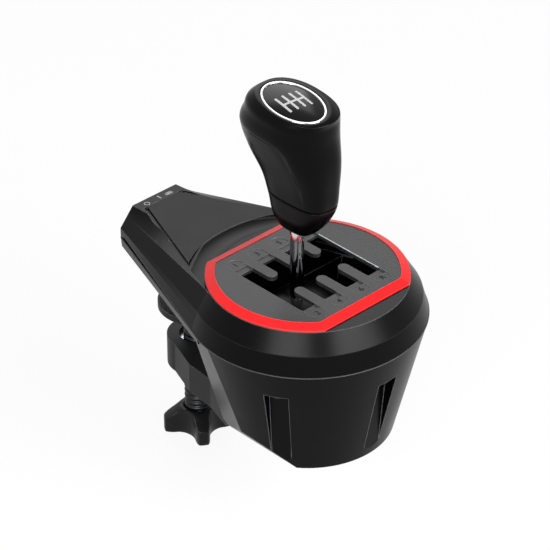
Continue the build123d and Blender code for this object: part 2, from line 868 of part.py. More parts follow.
# Yoke: a frame round the hub that tips left and right, with the detent's barrel on one side
with BuildPart() as select_yoke:
    with BuildSketch(pivot_level.offset(-yoke_height / 2)):
        Rectangle(2 * yoke_half, 2 * yoke_length_half)
        Rectangle(2 * (yoke_half - yoke_bar), 2 * yoke_inner_half, mode=Mode.SUBTRACT)
    extrude(amount=yoke_height)
    barrel_radius = plunger_radius + running_gap + barrel_wall
    with BuildSketch(pivot_facing_left.offset(hub_half + side_play)):
        with Locations((0, detent_reach)):
            Circle(barrel_radius)
        with Locations((0, detent_reach / 2)):
            Rectangle(2 * barrel_radius, detent_reach)
    extrude(amount=yoke_bar)
    with BuildSketch(pivot_facing_left.offset(hub_half + side_play)):
        with Locations((0, detent_reach)):
            Circle(barrel_radius)
    extrude(amount=barrel_length)
    with BuildSketch(pivot_facing_left.offset(hub_half + side_play)):
        with Locations((0, detent_reach)):
            Circle(plunger_radius + running_gap)
    extrude(amount=barrel_length, mode=Mode.SUBTRACT)
    with BuildSketch(pivot_facing_right.offset(yoke_half)):
        for side in (-1, 1):
            with Locations((side * (sensor_half - sensor_rib / 2), 0)):
                Rectangle(sensor_rib, yoke_height)
    extrude(amount=magnet_thickness + sensor_gap + side_play)
    with BuildSketch(pivot_facing_right.offset(-yoke_half - overrun)):
        Circle(axle_radius + running_gap)
    extrude(amount=2 * yoke_half + 2 * overrun, mode=Mode.SUBTRACT)
    for facing in (pivot_facing_front, pivot_facing_back):
        with BuildSketch(facing.offset(yoke_length_half)):
            Circle(pin_radius + seat_gap)
        extrude(amount=-pin_into_yoke, mode=Mode.SUBTRACT)

select_yoke.part.label = "select_yoke"
export_step(select_yoke.part, "parts/select_yoke.step")

# Pins of the yoke, the front one longer for the spring and the magnet
with BuildPart() as yoke_pins:
    for facing, reach in (
        (pivot_facing_front, front_pin_reach),
        (pivot_facing_back, upright_end + pin_proud),
    ):
        with BuildSketch(facing.offset(yoke_length_half - pin_into_yoke)):
            Circle(pin_radius)
        extrude(amount=reach - yoke_length_half + pin_into_yoke)

yoke_pins.part.label = "yoke_pins"
export_step(yoke_pins.part, "parts/yoke_pins.step")

# Magnet on the front pin and the sensor board that faces it
with BuildPart() as select_magnet:
    with BuildSketch(pivot_facing_front.offset(front_pin_reach)):
        Circle(pin_radius)
    extrude(amount=magnet_thickness)

select_magnet.part.label = "select_magnet"
export_step(select_magnet.part, "parts/select_magnet.step")

with BuildPart() as select_sensor:
    with BuildSketch(pivot_facing_front.offset(front_pin_reach + magnet_thickness + sensor_gap)):
        Rectangle(2 * sensor_half, 2 * sensor_half)
    extrude(amount=board_thickness)

select_sensor.part.label = "select_sensor"
export_step(select_sensor.part, "parts/select_sensor.step")

# Hub of the lever, with three dimples for the detent on its left flange
with BuildPart() as lever_hub:
    with BuildSketch(pivot_facing_right.offset(-hub_half)):
        Circle(hub_radius)
    extrude(amount=2 * hub_half)
    with BuildSketch(pivot_facing_left.offset(hub_half)):
        Circle(hub_flange_radius)
    extrude(amount=-hub_flange_thickness)
    with BuildSketch(pivot_level):
        Circle(hub_boss_radius)
    extrude(amount=hub_boss_height)
    with BuildSketch(pivot_level.offset(rod_foot_height)):
        Circle(rod_radius + seat_gap)
    extrude(amount=hub_boss_height, mode=Mode.SUBTRACT)
    with BuildSketch(pivot_facing_right.offset(-hub_half)):
        Circle(axle_radius + seat_gap)
    extrude(amount=2 * hub_half, mode=Mode.SUBTRACT)
    with BuildSketch(pivot_facing_left.offset(hub_half)):
        with PolarLocations(
            detent_reach,
            detent_places,
            start_angle=90 - shift_angle,
            angular_range=detent_places * shift_angle,
        ):
            Circle(dimple_radius)
    extrude(amount=-detent_depth, mode=Mode.SUBTRACT)

lever_hub.part.label = "lever_hub"
export_step(lever_hub.part, "parts/lever_hub.step")

# Axle fixed in the hub, and the magnet on its right end
with BuildPart() as shift_axle:
    with BuildSketch(pivot_facing_right.offset(-yoke_half)):
        Circle(axle_radius)
    extrude(amount=2 * yoke_half + side_play)

shift_axle.part.label = "shift_axle"
export_step(shift_axle.part, "parts/shift_axle.step")

with BuildPart() as shift_magnet:
    with BuildSketch(pivot_facing_right.offset(yoke_half + side_play)):
        Circle(axle_radius)
    extrude(amount=magnet_thickness)

shift_magnet.part.label = "shift_magnet"
export_step(shift_magnet.part, "parts/shift_magnet.step")

with BuildPart() as shift_sensor:
    with BuildSketch(
        pivot_facing_right.offset(yoke_half + side_play + magnet_thickness + sensor_gap)
    ):
        Rectangle(2 * sensor_half, 2 * sensor_half)
    extrude(amount=board_thickness)

shift_sensor.part.label = "shift_sensor"
export_step(shift_sensor.part, "parts/shift_sensor.step")

# Detent: plunger, spring and plug in the yoke's barrel
with BuildPart() as detent_plunger:
    plunger_tip = pivot_point + Vector(-hub_half - 2 * seat_gap - plunger_radius, 0, detent_reach)
    with Locations(plunger_tip):
        Sphere(plunger_radius)
    with BuildSketch(Plane(origin=plunger_tip, x_dir=(0, -1, 0), z_dir=(-1, 0, 0))):
        Circle(plunger_radius)
    extrude(amount=plunger_length)

detent_plunger.part.label = "detent_plunger"
export_step(detent_plunger.part, "parts/detent_plunger.step")

with BuildPart() as detent_spring:
    spring_start = -plunger_tip.X + pivot_point.X + plunger_length + seat_gap
    spring_room = hub_half + side_play + barrel_length - plug_length - seat_gap - spring_start
    spring_pitch = (spring_room - 2 * detent_wire) / detent_turns
    with BuildLine() as spring_line:
        spring_coil = Helix(
            spring_pitch,
            spring_pitch * detent_turns,
            plunger_radius - detent_wire,
            center=pivot_point + Vector(-spring_start - detent_wire, 0, detent_reach),
            direction=(-1, 0, 0),
        )
    with BuildSketch(Plane(origin=spring_coil @ 0, z_dir=spring_coil % 0)):
        RegularPolygon(detent_wire, wire_sides)
    sweep(path=spring_coil, is_frenet=True)

detent_spring.part.label = "detent_spring"
export_step(detent_spring.part, "parts/detent_spring.step")

with BuildPart() as detent_plug:
    with BuildSketch(pivot_facing_left.offset(hub_half + side_play + barrel_length)):
        with Locations((0, detent_reach)):
            Circle(plunger_radius + running_gap - seat_gap)
    extrude(amount=-plug_length)

detent_plug.part.label = "detent_plug"
export_step(detent_plug.part, "parts/detent_plug.step")

# Rod and the round cap that closes the gate from below
with BuildPart() as lever_rod:
    with BuildSketch(pivot_level.offset(rod_foot_height)):
        Circle(rod_radius)
    extrude(amount=pivot_drop - rod_foot_height + knob_base_height + rod_into_knob)

lever_rod.part.label = "lever_rod"
export_step(lever_rod.part, "parts/lever_rod.step")

with BuildPart() as dust_cap:
    inner_radius = cap_radius - cap_thickness
    with BuildSketch(pivot_facing_front):
        with BuildLine():
            Polyline(
                (0, cap_collar_radius),
                (0, pivot_drop),
                (cap_reach, pivot_drop),
                (cap_reach, cap_collar_radius),
                close=True,
            )
        make_face()
        with Locations((0, 0)):
            Circle(cap_radius, mode=Mode.INTERSECT)
            Circle(inner_radius, mode=Mode.SUBTRACT)
    revolve(axis=Axis(pivot_point, (0, 0, 1)))
    with BuildSketch(pivot_level.offset(cap_radius - cap_collar_height)):
        Circle(cap_collar_radius)
    extrude(amount=cap_collar_height - cap_thickness / 2)
    with BuildSketch(pivot_level.offset(hub_boss_height)):
        Circle(rod_radius + seat_gap)
    extrude(amount=pivot_drop, mode=Mode.SUBTRACT)
    far_edge = Plane(origin=pivot_point + Vector(0, cap_far_reach, 0), z_dir=(0, 1, 0))
    split(bisect_by=far_edge, keep=Keep.BOTTOM)

dust_cap.part.label = "dust_cap"
export_step(dust_cap.part, "parts/dust_cap.step")


def knob_form():
    """The whole knob, lofted through ovals that lean a little at the top."""
    with BuildPart() as form:
        for height_share, width_share, length_share, setback_share in knob_level_shares:
            middle = Vector(
                lever_x,
                setback_share * knob_length,
                knob_base_height + height_share * knob_height,
            )
            lean = knob_lean * height_share ** 4
            level = Plane(
                origin=gate_top.origin + middle,
                x_dir=(1, 0, 0),
                z_dir=(0, -sin(radians(lean)), cos(radians(lean))),
            )
            with BuildSketch(level):
                Ellipse(width_share * knob_width / 2, length_share * knob_length / 2)
        loft()
    return form.part


# Knob in two pieces that meet at a thin seam, with a plate and a bright ring in its top
knob_top_tilt = radians(knob_lean)
knob_top_middle = gate_top.origin + Vector(
    lever_x, knob_level_shares[-1][3] * knob_length, knob_base_height + knob_height
)
knob_top = Plane(
    origin=knob_top_middle,
    x_dir=(1, 0, 0),
    z_dir=(0, -sin(knob_top_tilt), cos(knob_top_tilt)),
)

with BuildPart() as knob_body:
    add(knob_form())
    split(bisect_by=gate_top.offset(knob_seam_height), keep=Keep.TOP)
    with BuildSketch(gate_top):
        with Locations((lever_x, 0)):
            Circle(rod_radius + seat_gap)
    extrude(amount=knob_base_height + rod_into_knob + seat_gap, mode=Mode.SUBTRACT)
    with BuildSketch(knob_top):
        Ellipse(
            badge_half_width + badge_ring_width + seat_gap,
            badge_half_length + badge_ring_width + seat_gap,
        )
    extrude(amount=-badge_thickness, mode=Mode.SUBTRACT)

knob_body.part.label = "knob_body"
export_step(knob_body.part, "parts/knob_body.step")

with BuildPart() as knob_collar:
    add(knob_form())
    split(bisect_by=gate_top.offset(knob_seam_height), keep=Keep.BOTTOM)
    with BuildSketch(gate_top):
        with Locations((lever_x, 0)):
            Circle(rod_radius + seat_gap)
    extrude(amount=knob_seam_height + overrun, mode=Mode.SUBTRACT)

knob_collar.part.label = "knob_collar"
export_step(knob_collar.part, "parts/knob_collar.step")

with BuildPart() as knob_ring:
    with BuildSketch(knob_top.offset(-badge_thickness)):
        Ellipse(badge_half_width + badge_ring_width, badge_half_length + badge_ring_width)
        Ellipse(badge_half_width, badge_half_length, mode=Mode.SUBTRACT)
    extrude(amount=badge_thickness)

knob_ring.part.label = "knob_ring"
export_step(knob_ring.part, "parts/knob_ring.step")

with BuildPart() as knob_badge:
    with BuildSketch(knob_top.offset(-badge_thickness)):
        Ellipse(badge_half_width - seat_gap, badge_half_length - seat_gap)
    extrude(amount=badge_thickness - free_gap)

knob_badge.part.label = "knob_badge"
export_step(knob_badge.part, "parts/knob_badge.step")

# Lower jaw of the clamp, with a tongue screwed to the cup's underside
with BuildPart() as clamp_jaw:
    with BuildSketch(gate_top.offset(-jaw_drop)):
        with BuildLine():
            Polyline(
                (jaw_root_half, cup_back),
                (jaw_neck_half, jaw_neck_at),
                (jaw_waist_half, jaw_waist_at),
                (jaw_end_radius, grip_to_cup),
                (-jaw_end_radius, grip_to_cup),
                (-jaw_waist_half, jaw_waist_at),
                (-jaw_neck_half, jaw_neck_at),
                (-jaw_root_half, cup_back),
                close=True,
            )
        make_face()
        with Locations((0, grip_to_cup)):
            Circle(jaw_end_radius)
    extrude(amount=jaw_drop - jaw_top_drop)
    with BuildSketch(gate_top.offset(-cup_drop - tongue_thickness)):
        with Locations((0, (tongue_front + cup_back) / 2)):
            Rectangle(2 * tongue_half, cup_back - tongue_front)
    extrude(amount=tongue_thickness)
    with BuildSketch(clamp_top.offset(-jaw_drop)):
        Circle(jaw_bore_radius)
    extrude(amount=jaw_drop - jaw_top_drop, mode=Mode.SUBTRACT)
    with BuildSketch(gate_top.offset(-cup_drop - tongue_thickness)):
        with Locations(*jaw_screws_at):
            Circle(jaw_screw_radius + seat_gap)
    extrude(amount=tongue_thickness, mode=Mode.SUBTRACT)

clamp_jaw.part.label = "clamp_jaw"
export_step(clamp_jaw.part, "parts/clamp_jaw.step")

with BuildPart() as jaw_screws:
    with BuildSketch(gate_top.offset(-cup_drop - tongue_thickness)):
        with Locations(*jaw_screws_at):
            Circle(jaw_head_radius)
    extrude(amount=-jaw_head_height)
    with BuildSketch(gate_top.offset(-cup_drop - tongue_thickness)):
        with Locations(*jaw_screws_at):
            Circle(jaw_screw_radius)
    extrude(amount=tongue_thickness + jaw_screw_bite)

jaw_screws.part.label = "jaw_screws"
export_step(jaw_screws.part, "parts/jaw_screws.step")

# Threaded insert, whose bore takes the screw
with BuildPart() as clamp_nut:
    with BuildSketch(clamp_top.offset(-jaw_drop)):
        Circle(jaw_bore_radius - seat_gap)
        Circle(screw_radius + running_gap, mode=Mode.SUBTRACT)
    extrude(amount=jaw_drop - jaw_top_drop - jaw_counterbore)

clamp_nut.part.label = "clamp_nut"
export_step(clamp_nut.part, "parts/clamp_nut.step")

# Pressure plate on top of the screw, with a rubber facing
pad_foot = clamp_pad_drop + clamp_pad_thickness
with BuildPart() as clamp_pad:
    with BuildSketch(clamp_top.offset(-pad_foot)):
        Circle(clamp_pad_radius)
    extrude(amount=clamp_pad_thickness - facing_proud)
    with BuildSketch(clamp_top.offset(-pad_foot - boss_height)):
        Circle(boss_radius)
    extrude(amount=boss_height)
    with BuildSketch(clamp_top.offset(-clamp_pad_drop - facing_thickness)):
        Circle(facing_radius + seat_gap)
    extrude(amount=facing_thickness, mode=Mode.SUBTRACT)
    with BuildSketch(clamp_top.offset(-pad_foot - boss_height)):
        Circle(screw_neck_radius + running_gap)
    extrude(amount=screw_neck_length + seat_gap, mode=Mode.SUBTRACT)

clamp_pad.part.label = "clamp_pad"
export_step(clamp_pad.part, "parts/clamp_pad.step")

with BuildPart() as pad_facing:
    with BuildSketch(clamp_top.offset(-clamp_pad_drop - facing_thickness)):
        Circle(facing_radius)
    extrude(amount=facing_thickness)

pad_facing.part.label = "pad_facing"
export_step(pad_facing.part, "parts/pad_facing.step")

# Clamp screw, with a neck that turns in the pressure plate's boss
screw_shoulder = pad_foot + boss_height + free_gap
with BuildPart() as clamp_screw:
    with BuildSketch(clamp_top.offset(-screw_shoulder)):
        Circle(screw_radius)
    extrude(amount=screw_shoulder - star_foot_drop + star_cap)
    with BuildSketch(clamp_top.offset(-screw_shoulder)):
        Circle(screw_neck_radius)
    extrude(amount=screw_neck_length)

clamp_screw.part.label = "clamp_screw"
export_step(clamp_screw.part, "parts/clamp_screw.step")

# Four-lobed star knob
with BuildPart() as star_knob:
    with BuildSketch(clamp_side):
        with BuildLine():
            Polyline(
                (0, -star_top_drop),
                (star_hub_radius, -star_top_drop),
                (star_radius, -star_tip_drop),
                (star_radius, -star_foot_drop),
                (0, -star_foot_drop),
                close=True,
            )
        make_face()
    revolve(axis=clamp_axis)
    with BuildSketch(clamp_top.offset(-star_foot_drop)):
        with PolarLocations(star_scallop_out, star_lobes, start_angle=star_lobe_angle - 180 / star_lobes):
            Circle(star_scallop_radius)
    extrude(amount=star_foot_drop - star_top_drop, mode=Mode.SUBTRACT)
    with BuildSketch(clamp_top.offset(star_cap - star_foot_drop)):
        Circle(screw_radius + seat_gap)
    extrude(amount=star_foot_drop - star_top_drop, mode=Mode.SUBTRACT)

star_knob.part.label = "star_knob"
export_step(star_knob.part, "parts/star_knob.step")
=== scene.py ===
# %% [markdown]
# # Sim racing gear shifter
#
# This is a desk-mounted gear lever for driving games. The imported CAD model brings the casing,
# the gate, the mechanism and the clamp, all at their real size. Here they get their camera,
# their light, their finishes, and the shapes that carving does better than solids: the knob,
# the coarse thread, the star grip, and the small numbers and marks.
#
# The frame is loaded first and never moved.

# %% Load the frame
import math

import bpy
from mathutils import Matrix, Vector


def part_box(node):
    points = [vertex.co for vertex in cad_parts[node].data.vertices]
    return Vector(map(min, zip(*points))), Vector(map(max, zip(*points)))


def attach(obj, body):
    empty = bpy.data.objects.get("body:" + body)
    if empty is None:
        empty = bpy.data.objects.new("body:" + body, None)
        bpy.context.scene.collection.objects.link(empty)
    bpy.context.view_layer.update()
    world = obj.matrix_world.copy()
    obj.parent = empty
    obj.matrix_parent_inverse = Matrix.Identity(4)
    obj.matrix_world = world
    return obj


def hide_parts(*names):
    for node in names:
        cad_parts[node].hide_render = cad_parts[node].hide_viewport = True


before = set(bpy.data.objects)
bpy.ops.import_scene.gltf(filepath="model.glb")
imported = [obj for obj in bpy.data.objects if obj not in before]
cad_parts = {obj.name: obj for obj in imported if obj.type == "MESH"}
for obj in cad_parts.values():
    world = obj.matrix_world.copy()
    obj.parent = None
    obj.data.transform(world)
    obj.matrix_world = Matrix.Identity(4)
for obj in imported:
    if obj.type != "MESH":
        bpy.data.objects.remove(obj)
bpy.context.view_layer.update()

# %% [markdown]
# The casing's sizes are easiest to read from the middle of the gate plate's top, in
# millimetres: x to the right, y away from the driver, z up. One function turns such a point
# into Blender's metres in the frame that the CAD uses.

# %% Millimetres over the gate
MM = 0.001
GATE_MIDDLE = Vector((0, -105.5, 40.0))


def place(x, y, z=0.0):
    """A point given in millimetres from the middle of the gate plate's top, in metres."""
    return (GATE_MIDDLE + Vector((x, y, z))) * MM


print("gate middle at", tuple(round(v, 4) for v in place(0, 0)))

# %% [markdown]
# ## Camera
#
# The photograph was taken from the driver's left, about 33 degrees above the plate, with a
# long lens: opposite edges of the gate stay almost parallel. The place and the lens were
# worked out from the plate's outline, the arm and the foot of the cup.

# %% Camera
CAMERA_PLACE = Vector((-1.160515, -1.284059, 1.129717))
CAMERA_RIGHT = Vector((0.72131, -0.69261, 0.0))
CAMERA_UP = Vector((0.38195, 0.39778, 0.83420))
CAMERA_FORWARD = Vector((0.57778, 0.60171, -0.55147))
camera_data = bpy.data.cameras.new("camera")
camera_data.sensor_width = 36.0
camera_data.lens = 203.98
camera_data.clip_end = 50.0
camera = bpy.data.objects.new("camera", camera_data)
bpy.context.scene.collection.objects.link(camera)
camera_turn = Matrix((CAMERA_RIGHT, CAMERA_UP, -CAMERA_FORWARD)).transposed()
camera.matrix_world = Matrix.Translation(CAMERA_PLACE) @ camera_turn.to_4x4()
bpy.context.scene.camera = camera
print("lens", camera_data.lens, "mm")

# %% [markdown]
# ## Colours and nodes
#
# A colour is written as the sRGB hex value that a paint program shows, and one function
# turns it to the linear light that shaders add up. One more function adds a node, sets what
# it is told to, and links what it is given.

# %% Colours and nodes


def linear(hex_colour):
    """sRGB hex, such as #1b1b1c, as linear red, green, blue and alpha."""
    channels = [int(hex_colour[i : i + 2], 16) / 255 for i in (1, 3, 5)]
    return (*[c / 12.92 if c <= 0.04045 else ((c + 0.055) / 1.055) ** 2.4 for c in channels], 1.0)


def set_inputs(tree, node, inputs):
    """Sets each named input to a value, or links it if it is given another node's output."""
    for name, value in inputs.items():
        if isinstance(value, bpy.types.NodeSocket):
            tree.links.new(value, node.inputs[name])
        else:
            node.inputs[name].default_value = value


def add_node(tree, kind, inputs=None, **settings):
    """A new node with its settings, and its inputs set or linked."""
    node = tree.nodes.new(kind)
    for name, value in settings.items():
        setattr(node, name, value)
    set_inputs(tree, node, inputs or {})
    return node


print("dark grey 3a3a3b is", [round(c, 4) for c in linear("#3a3a3b")])

# %% [markdown]
# ## Floor
#
# The floor is the plane that the star grip stands on. It is white to the camera and to
# reflections, mixed with a little of its own lit colour, so that the soft shadow under the
# object stays. More light would whiten it too, but would also wash out the object.

# %% Floor
STAR_FOOT = -138.0
FLOOR_Z = STAR_FOOT * MM
FLOOR_REACH = 12.0
SHADOW_SHARE = 0.10


def shown_white(tree):
    """1 where the camera, a mirror or a view through glass looks, and 0 where light is cast."""
    path = add_node(tree, "ShaderNodeLightPath")
    seen = path.outputs["Is Camera Ray"]
    for ray in ("Is Glossy Ray", "Is Transmission Ray"):
        either = {0: seen, 1: path.outputs[ray]}
        seen = add_node(tree, "ShaderNodeMath", either, operation="MAXIMUM").outputs[0]
    return seen


floor_mesh = bpy.data.meshes.new("floor")
floor_mesh.from_pydata(
    [(x * FLOOR_REACH, y * FLOOR_REACH, FLOOR_Z) for x, y in ((-1, -1), (1, -1), (1, 1), (-1, 1))],
    [],
    [(0, 1, 2, 3)],
)
floor = bpy.data.objects.new("floor", floor_mesh)
bpy.context.scene.collection.objects.link(floor)

floor_material = bpy.data.materials.new("white_paper_floor")
floor_material.use_nodes = True
tree = floor_material.node_tree
tree.nodes.clear()
paper = add_node(tree, "ShaderNodeBsdfDiffuse", {"Color": linear("#f4f4f4")})
paper_white = add_node(tree, "ShaderNodeEmission", {"Strength": 1.0})
white_share = add_node(
    tree, "ShaderNodeMath", {0: shown_white(tree), 1: 1.0 - SHADOW_SHARE}, operation="MULTIPLY"
)
floor_mix = add_node(
    tree, "ShaderNodeMixShader",
    {0: white_share.outputs[0], 1: paper.outputs[0], 2: paper_white.outputs[0]},
)
add_node(tree, "ShaderNodeOutputMaterial", {"Surface": floor_mix.outputs[0]})
floor_mesh.materials.append(floor_material)
print("floor at", FLOOR_Z)

# %% [markdown]
# ## Backdrop
#
# The world behind the floor is white in the same way, and dimmer as a source of light, so
# that the lamps shape the object. The view transform is the plain one, which keeps a colour
# as it is written.

# %% Backdrop
WORLD_LIGHT = 0.12
world = bpy.data.worlds.new("studio")
bpy.context.scene.world = world
world.use_nodes = True
tree = world.node_tree
tree.nodes.clear()
white = linear("#ffffff")
seen_light = add_node(tree, "ShaderNodeBackground", {"Color": white, "Strength": 1.0})
cast_light = add_node(tree, "ShaderNodeBackground", {"Color": white, "Strength": WORLD_LIGHT})
world_mix = add_node(
    tree, "ShaderNodeMixShader",
    {0: shown_white(tree), 1: cast_light.outputs[0], 2: seen_light.outputs[0]},
)
add_node(tree, "ShaderNodeOutputWorld", {"Surface": world_mix.outputs[0]})
bpy.context.scene.view_settings.view_transform = "Standard"
print("world light", WORLD_LIGHT)

# %% [markdown]
# ## Lamps
#
# Four soft boxes light the object. Two long low ones stand before it and to its left, and make
# the broad glow on the near bevel and on the knob's shoulders. One stands behind, where the
# flat tops mirror it, which is why they read as grey although the plastic is black. The last
# is a weak fill from above. A picture of a studio could light it too, but each box can be
# moved until its own highlight is where the photograph has it.

# %% Lamps


def soft_box(name, direction, distance, width, height, radiance):
    """A rectangular lamp aimed at the gate, as bright as radiance wherever it is mirrored."""
    lamp_data = bpy.data.lights.new(name, "AREA")
    lamp_data.shape = "RECTANGLE"
    lamp_data.size = width
    lamp_data.size_y = height
    lamp_data.energy = radiance * math.pi * width * height
    lamp = bpy.data.objects.new(name, lamp_data)
    bpy.context.scene.collection.objects.link(lamp)
    toward = Vector(direction).normalized()
    lamp.location = place(0, 0) + toward * distance
    lamp.rotation_mode = "QUATERNION"
    lamp.rotation_quaternion = (-toward).to_track_quat("-Z", "Y")


soft_box("front_box", (0.10, -0.88, 0.50), distance=1.9, width=1.5, height=0.5, radiance=19.5)
soft_box("left_box", (-0.82, -0.42, 0.52), distance=1.9, width=1.1, height=0.5, radiance=16.5)
soft_box("back_box", (0.53, 0.68, 0.60), distance=2.2, width=1.2, height=1.0, radiance=3.3)
soft_box("top_box", (-0.1, 0.1, 1.0), distance=2.0, width=1.2, height=1.2, radiance=0.6)

# %% [markdown]
# ## An empty material and a painted edge highlight
#
# Every finish starts from the same empty material. Most also share one painted highlight: their
# edges are rounded by a few tenths of a millimetre, and a paler colour is painted along them, so
# they read as thin light lines. The mask for that compares the rounded normal with the flat one,
# because they differ only near an edge.

# %% Empty material and painted edge highlight


def new_material(name):
    """An empty material, its tree, its shader joined to the output, and the object's own space."""
    material = bpy.data.materials.new(name)
    material.use_nodes = True
    tree = material.node_tree
    tree.nodes.clear()
    shader = add_node(tree, "ShaderNodeBsdfPrincipled")
    add_node(tree, "ShaderNodeOutputMaterial", {"Surface": shader.outputs[0]})
    return material, tree, shader, add_node(tree, "ShaderNodeTexCoord").outputs["Object"]


def rounded_edge_highlight(tree, radius_mm, agree_start, agree_full, share):
    """The normal rounded at the edges, and how much painted highlight each spot gets, from 0 up to
    share.
    """
    rounded = add_node(tree, "ShaderNodeBevel", {"Radius": radius_mm * MM}, samples=4).outputs[0]
    flat = add_node(tree, "ShaderNodeNewGeometry").outputs["Normal"]
    agree = add_node(tree, "ShaderNodeVectorMath", {0: rounded, 1: flat}, operation="DOT_PRODUCT")
    mask = add_node(
        tree, "ShaderNodeMapRange",
        {
            "Value": agree.outputs["Value"], "From Min": agree_start, "From Max": agree_full,
            "To Min": 0.0, "To Max": share,
        },
    )
    return rounded, mask.outputs[0]


print("material helpers ready")

# %% [markdown]
# ## Moulded plastics
#
# Nearly everything here is moulded plastic. The mould was spark-eroded, which leaves a fine
# even grain; the sides of the grains scatter the light, so the surface is satin rather than
# glossy. Broad faint clouds keep a large wall from looking like paint. The grain could be a
# picture wrapped round each piece, but noise in the piece's own space needs no unwrapping and
# keeps its size everywhere. The real grain is about 0.1 mm wide, and is drawn several times
# coarser so that it shows. The first function gives the colour its clouds and specks.

# %% Clouds and specks
GRAIN_LOW = 0.3
GRAIN_HIGH = 0.7


def cloudy_colour(tree, colour, grain, cloud, tone):
    """A colour made lighter and darker by up to tone, in each speck of grain and each cloud."""
    tone_range = {"To Min": 1.0 - tone, "To Max": 1.0 + tone}
    blotch = add_node(tree, "ShaderNodeMapRange", {"Value": cloud, **tone_range})
    speckle = add_node(
        tree, "ShaderNodeMapRange",
        {"Value": grain, "From Min": GRAIN_LOW, "From Max": GRAIN_HIGH, **tone_range},
    )
    shade = add_node(
        tree, "ShaderNodeMath", {0: blotch.outputs[0], 1: speckle.outputs[0]}, operation="MULTIPLY"
    )
    toned = add_node(
        tree, "ShaderNodeVectorMath", {0: linear(colour)[:3], "Scale": shade.outputs[0]},
        operation="SCALE",
    )
    return toned.outputs[0]


print("specks run from", GRAIN_LOW, "to", GRAIN_HIGH, "of the grain's height")

# %% [markdown]
# One function makes all the plastics. The noise gives both the specks and the bump, so that
# a dark speck is also a hollow, and the painted edge highlights are laid over the colour last.

# %% Moulded plastic
PLASTIC_IOR = 1.5
CLOUD_MM = 28.0
ROUGHNESS_SPREAD = 0.04
EDGE_HIGHLIGHT_START = 0.995
EDGE_HIGHLIGHT_FULL = 0.90


def moulded_plastic(
    name, colour, edge_highlight_colour, roughness, specular, grain_mm=0.8, grain_depth_mm=0.02,
    edge_mm=0.45, edge_highlight_share=0.6, tone=0.10,
):
    """A moulded plastic with spark-eroded grain, faint clouds and painted highlights on its edges.
    """
    material, tree, shader, spot = new_material(name)
    grain = add_node(
        tree, "ShaderNodeTexNoise",
        {"Vector": spot, "Scale": 1.0 / (grain_mm * MM), "Detail": 3.0, "Roughness": 0.6},
    )
    cloud = add_node(
        tree, "ShaderNodeTexNoise", {"Vector": spot, "Scale": 1.0 / (CLOUD_MM * MM), "Detail": 2.0}
    )
    rounded, edge = rounded_edge_highlight(tree, edge_mm, EDGE_HIGHLIGHT_START, EDGE_HIGHLIGHT_FULL, edge_highlight_share)
    bump = add_node(
        tree, "ShaderNodeBump",
        {
            "Height": grain.outputs["Fac"], "Distance": grain_depth_mm * MM, "Strength": 1.0,
            "Normal": rounded,
        },
    )
    toned = cloudy_colour(tree, colour, grain.outputs["Fac"], cloud.outputs["Fac"], tone)
    # The paler edge colour mixed in here is a painted highlight along the rounded edges.
    body = add_node(
        tree, "ShaderNodeMixRGB", {"Fac": edge, "Color1": toned, "Color2": linear(edge_highlight_colour)}
    )
    rough = add_node(
        tree, "ShaderNodeMapRange",
        {
            "Value": cloud.outputs["Fac"], "To Min": roughness - ROUGHNESS_SPREAD,
            "To Max": roughness + ROUGHNESS_SPREAD,
        },
    )
    set_inputs(tree, shader, {
        "Base Color": body.outputs[0], "Roughness": rough.outputs[0], "Normal": bump.outputs[0],
        "IOR": PLASTIC_IOR, "Specular IOR Level": specular,
    })
    return material


print("clouds in the plastic every", CLOUD_MM, "mm")

# %% [markdown]
# The casing is satin ABS, and the flat panel on its arm is a paler, duller one. The knob
# has a soft smooth skin. The ring is dyed red right through. The bracket is nylon filled with
# glass fibre, which comes out of the mould rougher and greyer, and the star grip is plain
# nylon. The sockets are nylon too, and the badge is a gloss black lens.

# %% The plastics
# Each plastic's second colour is the painted highlight along its edges.
casing_plastic = moulded_plastic(
    "black_abs_satin", "#030304", "#8a8a8c", roughness=0.30, specular=0.08, edge_mm=0.8
)
panel_plastic = moulded_plastic(
    "charcoal_abs_fine", "#141415", "#77777a", roughness=0.42, specular=0.08, edge_highlight_share=0.5
)
knob_plastic = moulded_plastic(
    "soft_touch_knob_black", "#030304", "#66666a", roughness=0.26, specular=0.075,
    grain_mm=0.5, grain_depth_mm=0.006,
)
red_plastic = moulded_plastic(
    "red_abs_satin", "#e0191c", "#f4645f", roughness=0.36, specular=0.25,
    grain_mm=0.6, grain_depth_mm=0.008, tone=0.05,
)
jaw_plastic = moulded_plastic(
    "glass_filled_nylon_grey", "#202022", "#88888b", roughness=0.46, specular=0.10,
    grain_mm=1.2, grain_depth_mm=0.05,
)
grip_plastic = moulded_plastic(
    "black_nylon_grip", "#151516", "#98989a", roughness=0.40, specular=0.14,
    grain_mm=1.0, grain_depth_mm=0.03, edge_mm=0.8,
)
socket_plastic = moulded_plastic(
    "black_nylon_socket", "#0b0b0b", "#2a2a2b", roughness=0.45, specular=0.25
)
badge_plastic = moulded_plastic(
    "badge_gloss_black", "#040404", "#040404", roughness=0.14, specular=0.10,
    grain_mm=0.4, grain_depth_mm=0.004,
)
print("materials made so far:", len(bpy.data.materials))

# %% [markdown]
# ## Gate plate
#
# The gate is sheet steel with a dark satin coat over a brushed face. Brushing leaves fine,
# nearly straight scratches that wander a little, so the coat shows thin wavy lines. The real
# lines are about 0.1 mm apart; they are drawn 1.7 mm apart, because finer ones would not show.
# A wave texture of scale 1 has about 3.2 bands to the metre, which its scale is divided by.

# %% Brushed and coated steel
BRUSH_PITCH_MM = 1.7
BRUSH_TURN = math.radians(4)
BRUSH_DEPTH_MM = 0.045
WAVE_BANDS = 3.2
PLATE_EDGE_MM = 0.5
PLATE_HIGHLIGHT_START = 0.99
PLATE_HIGHLIGHT_FULL = 0.88
PLATE_HIGHLIGHT_SHARE = 0.7

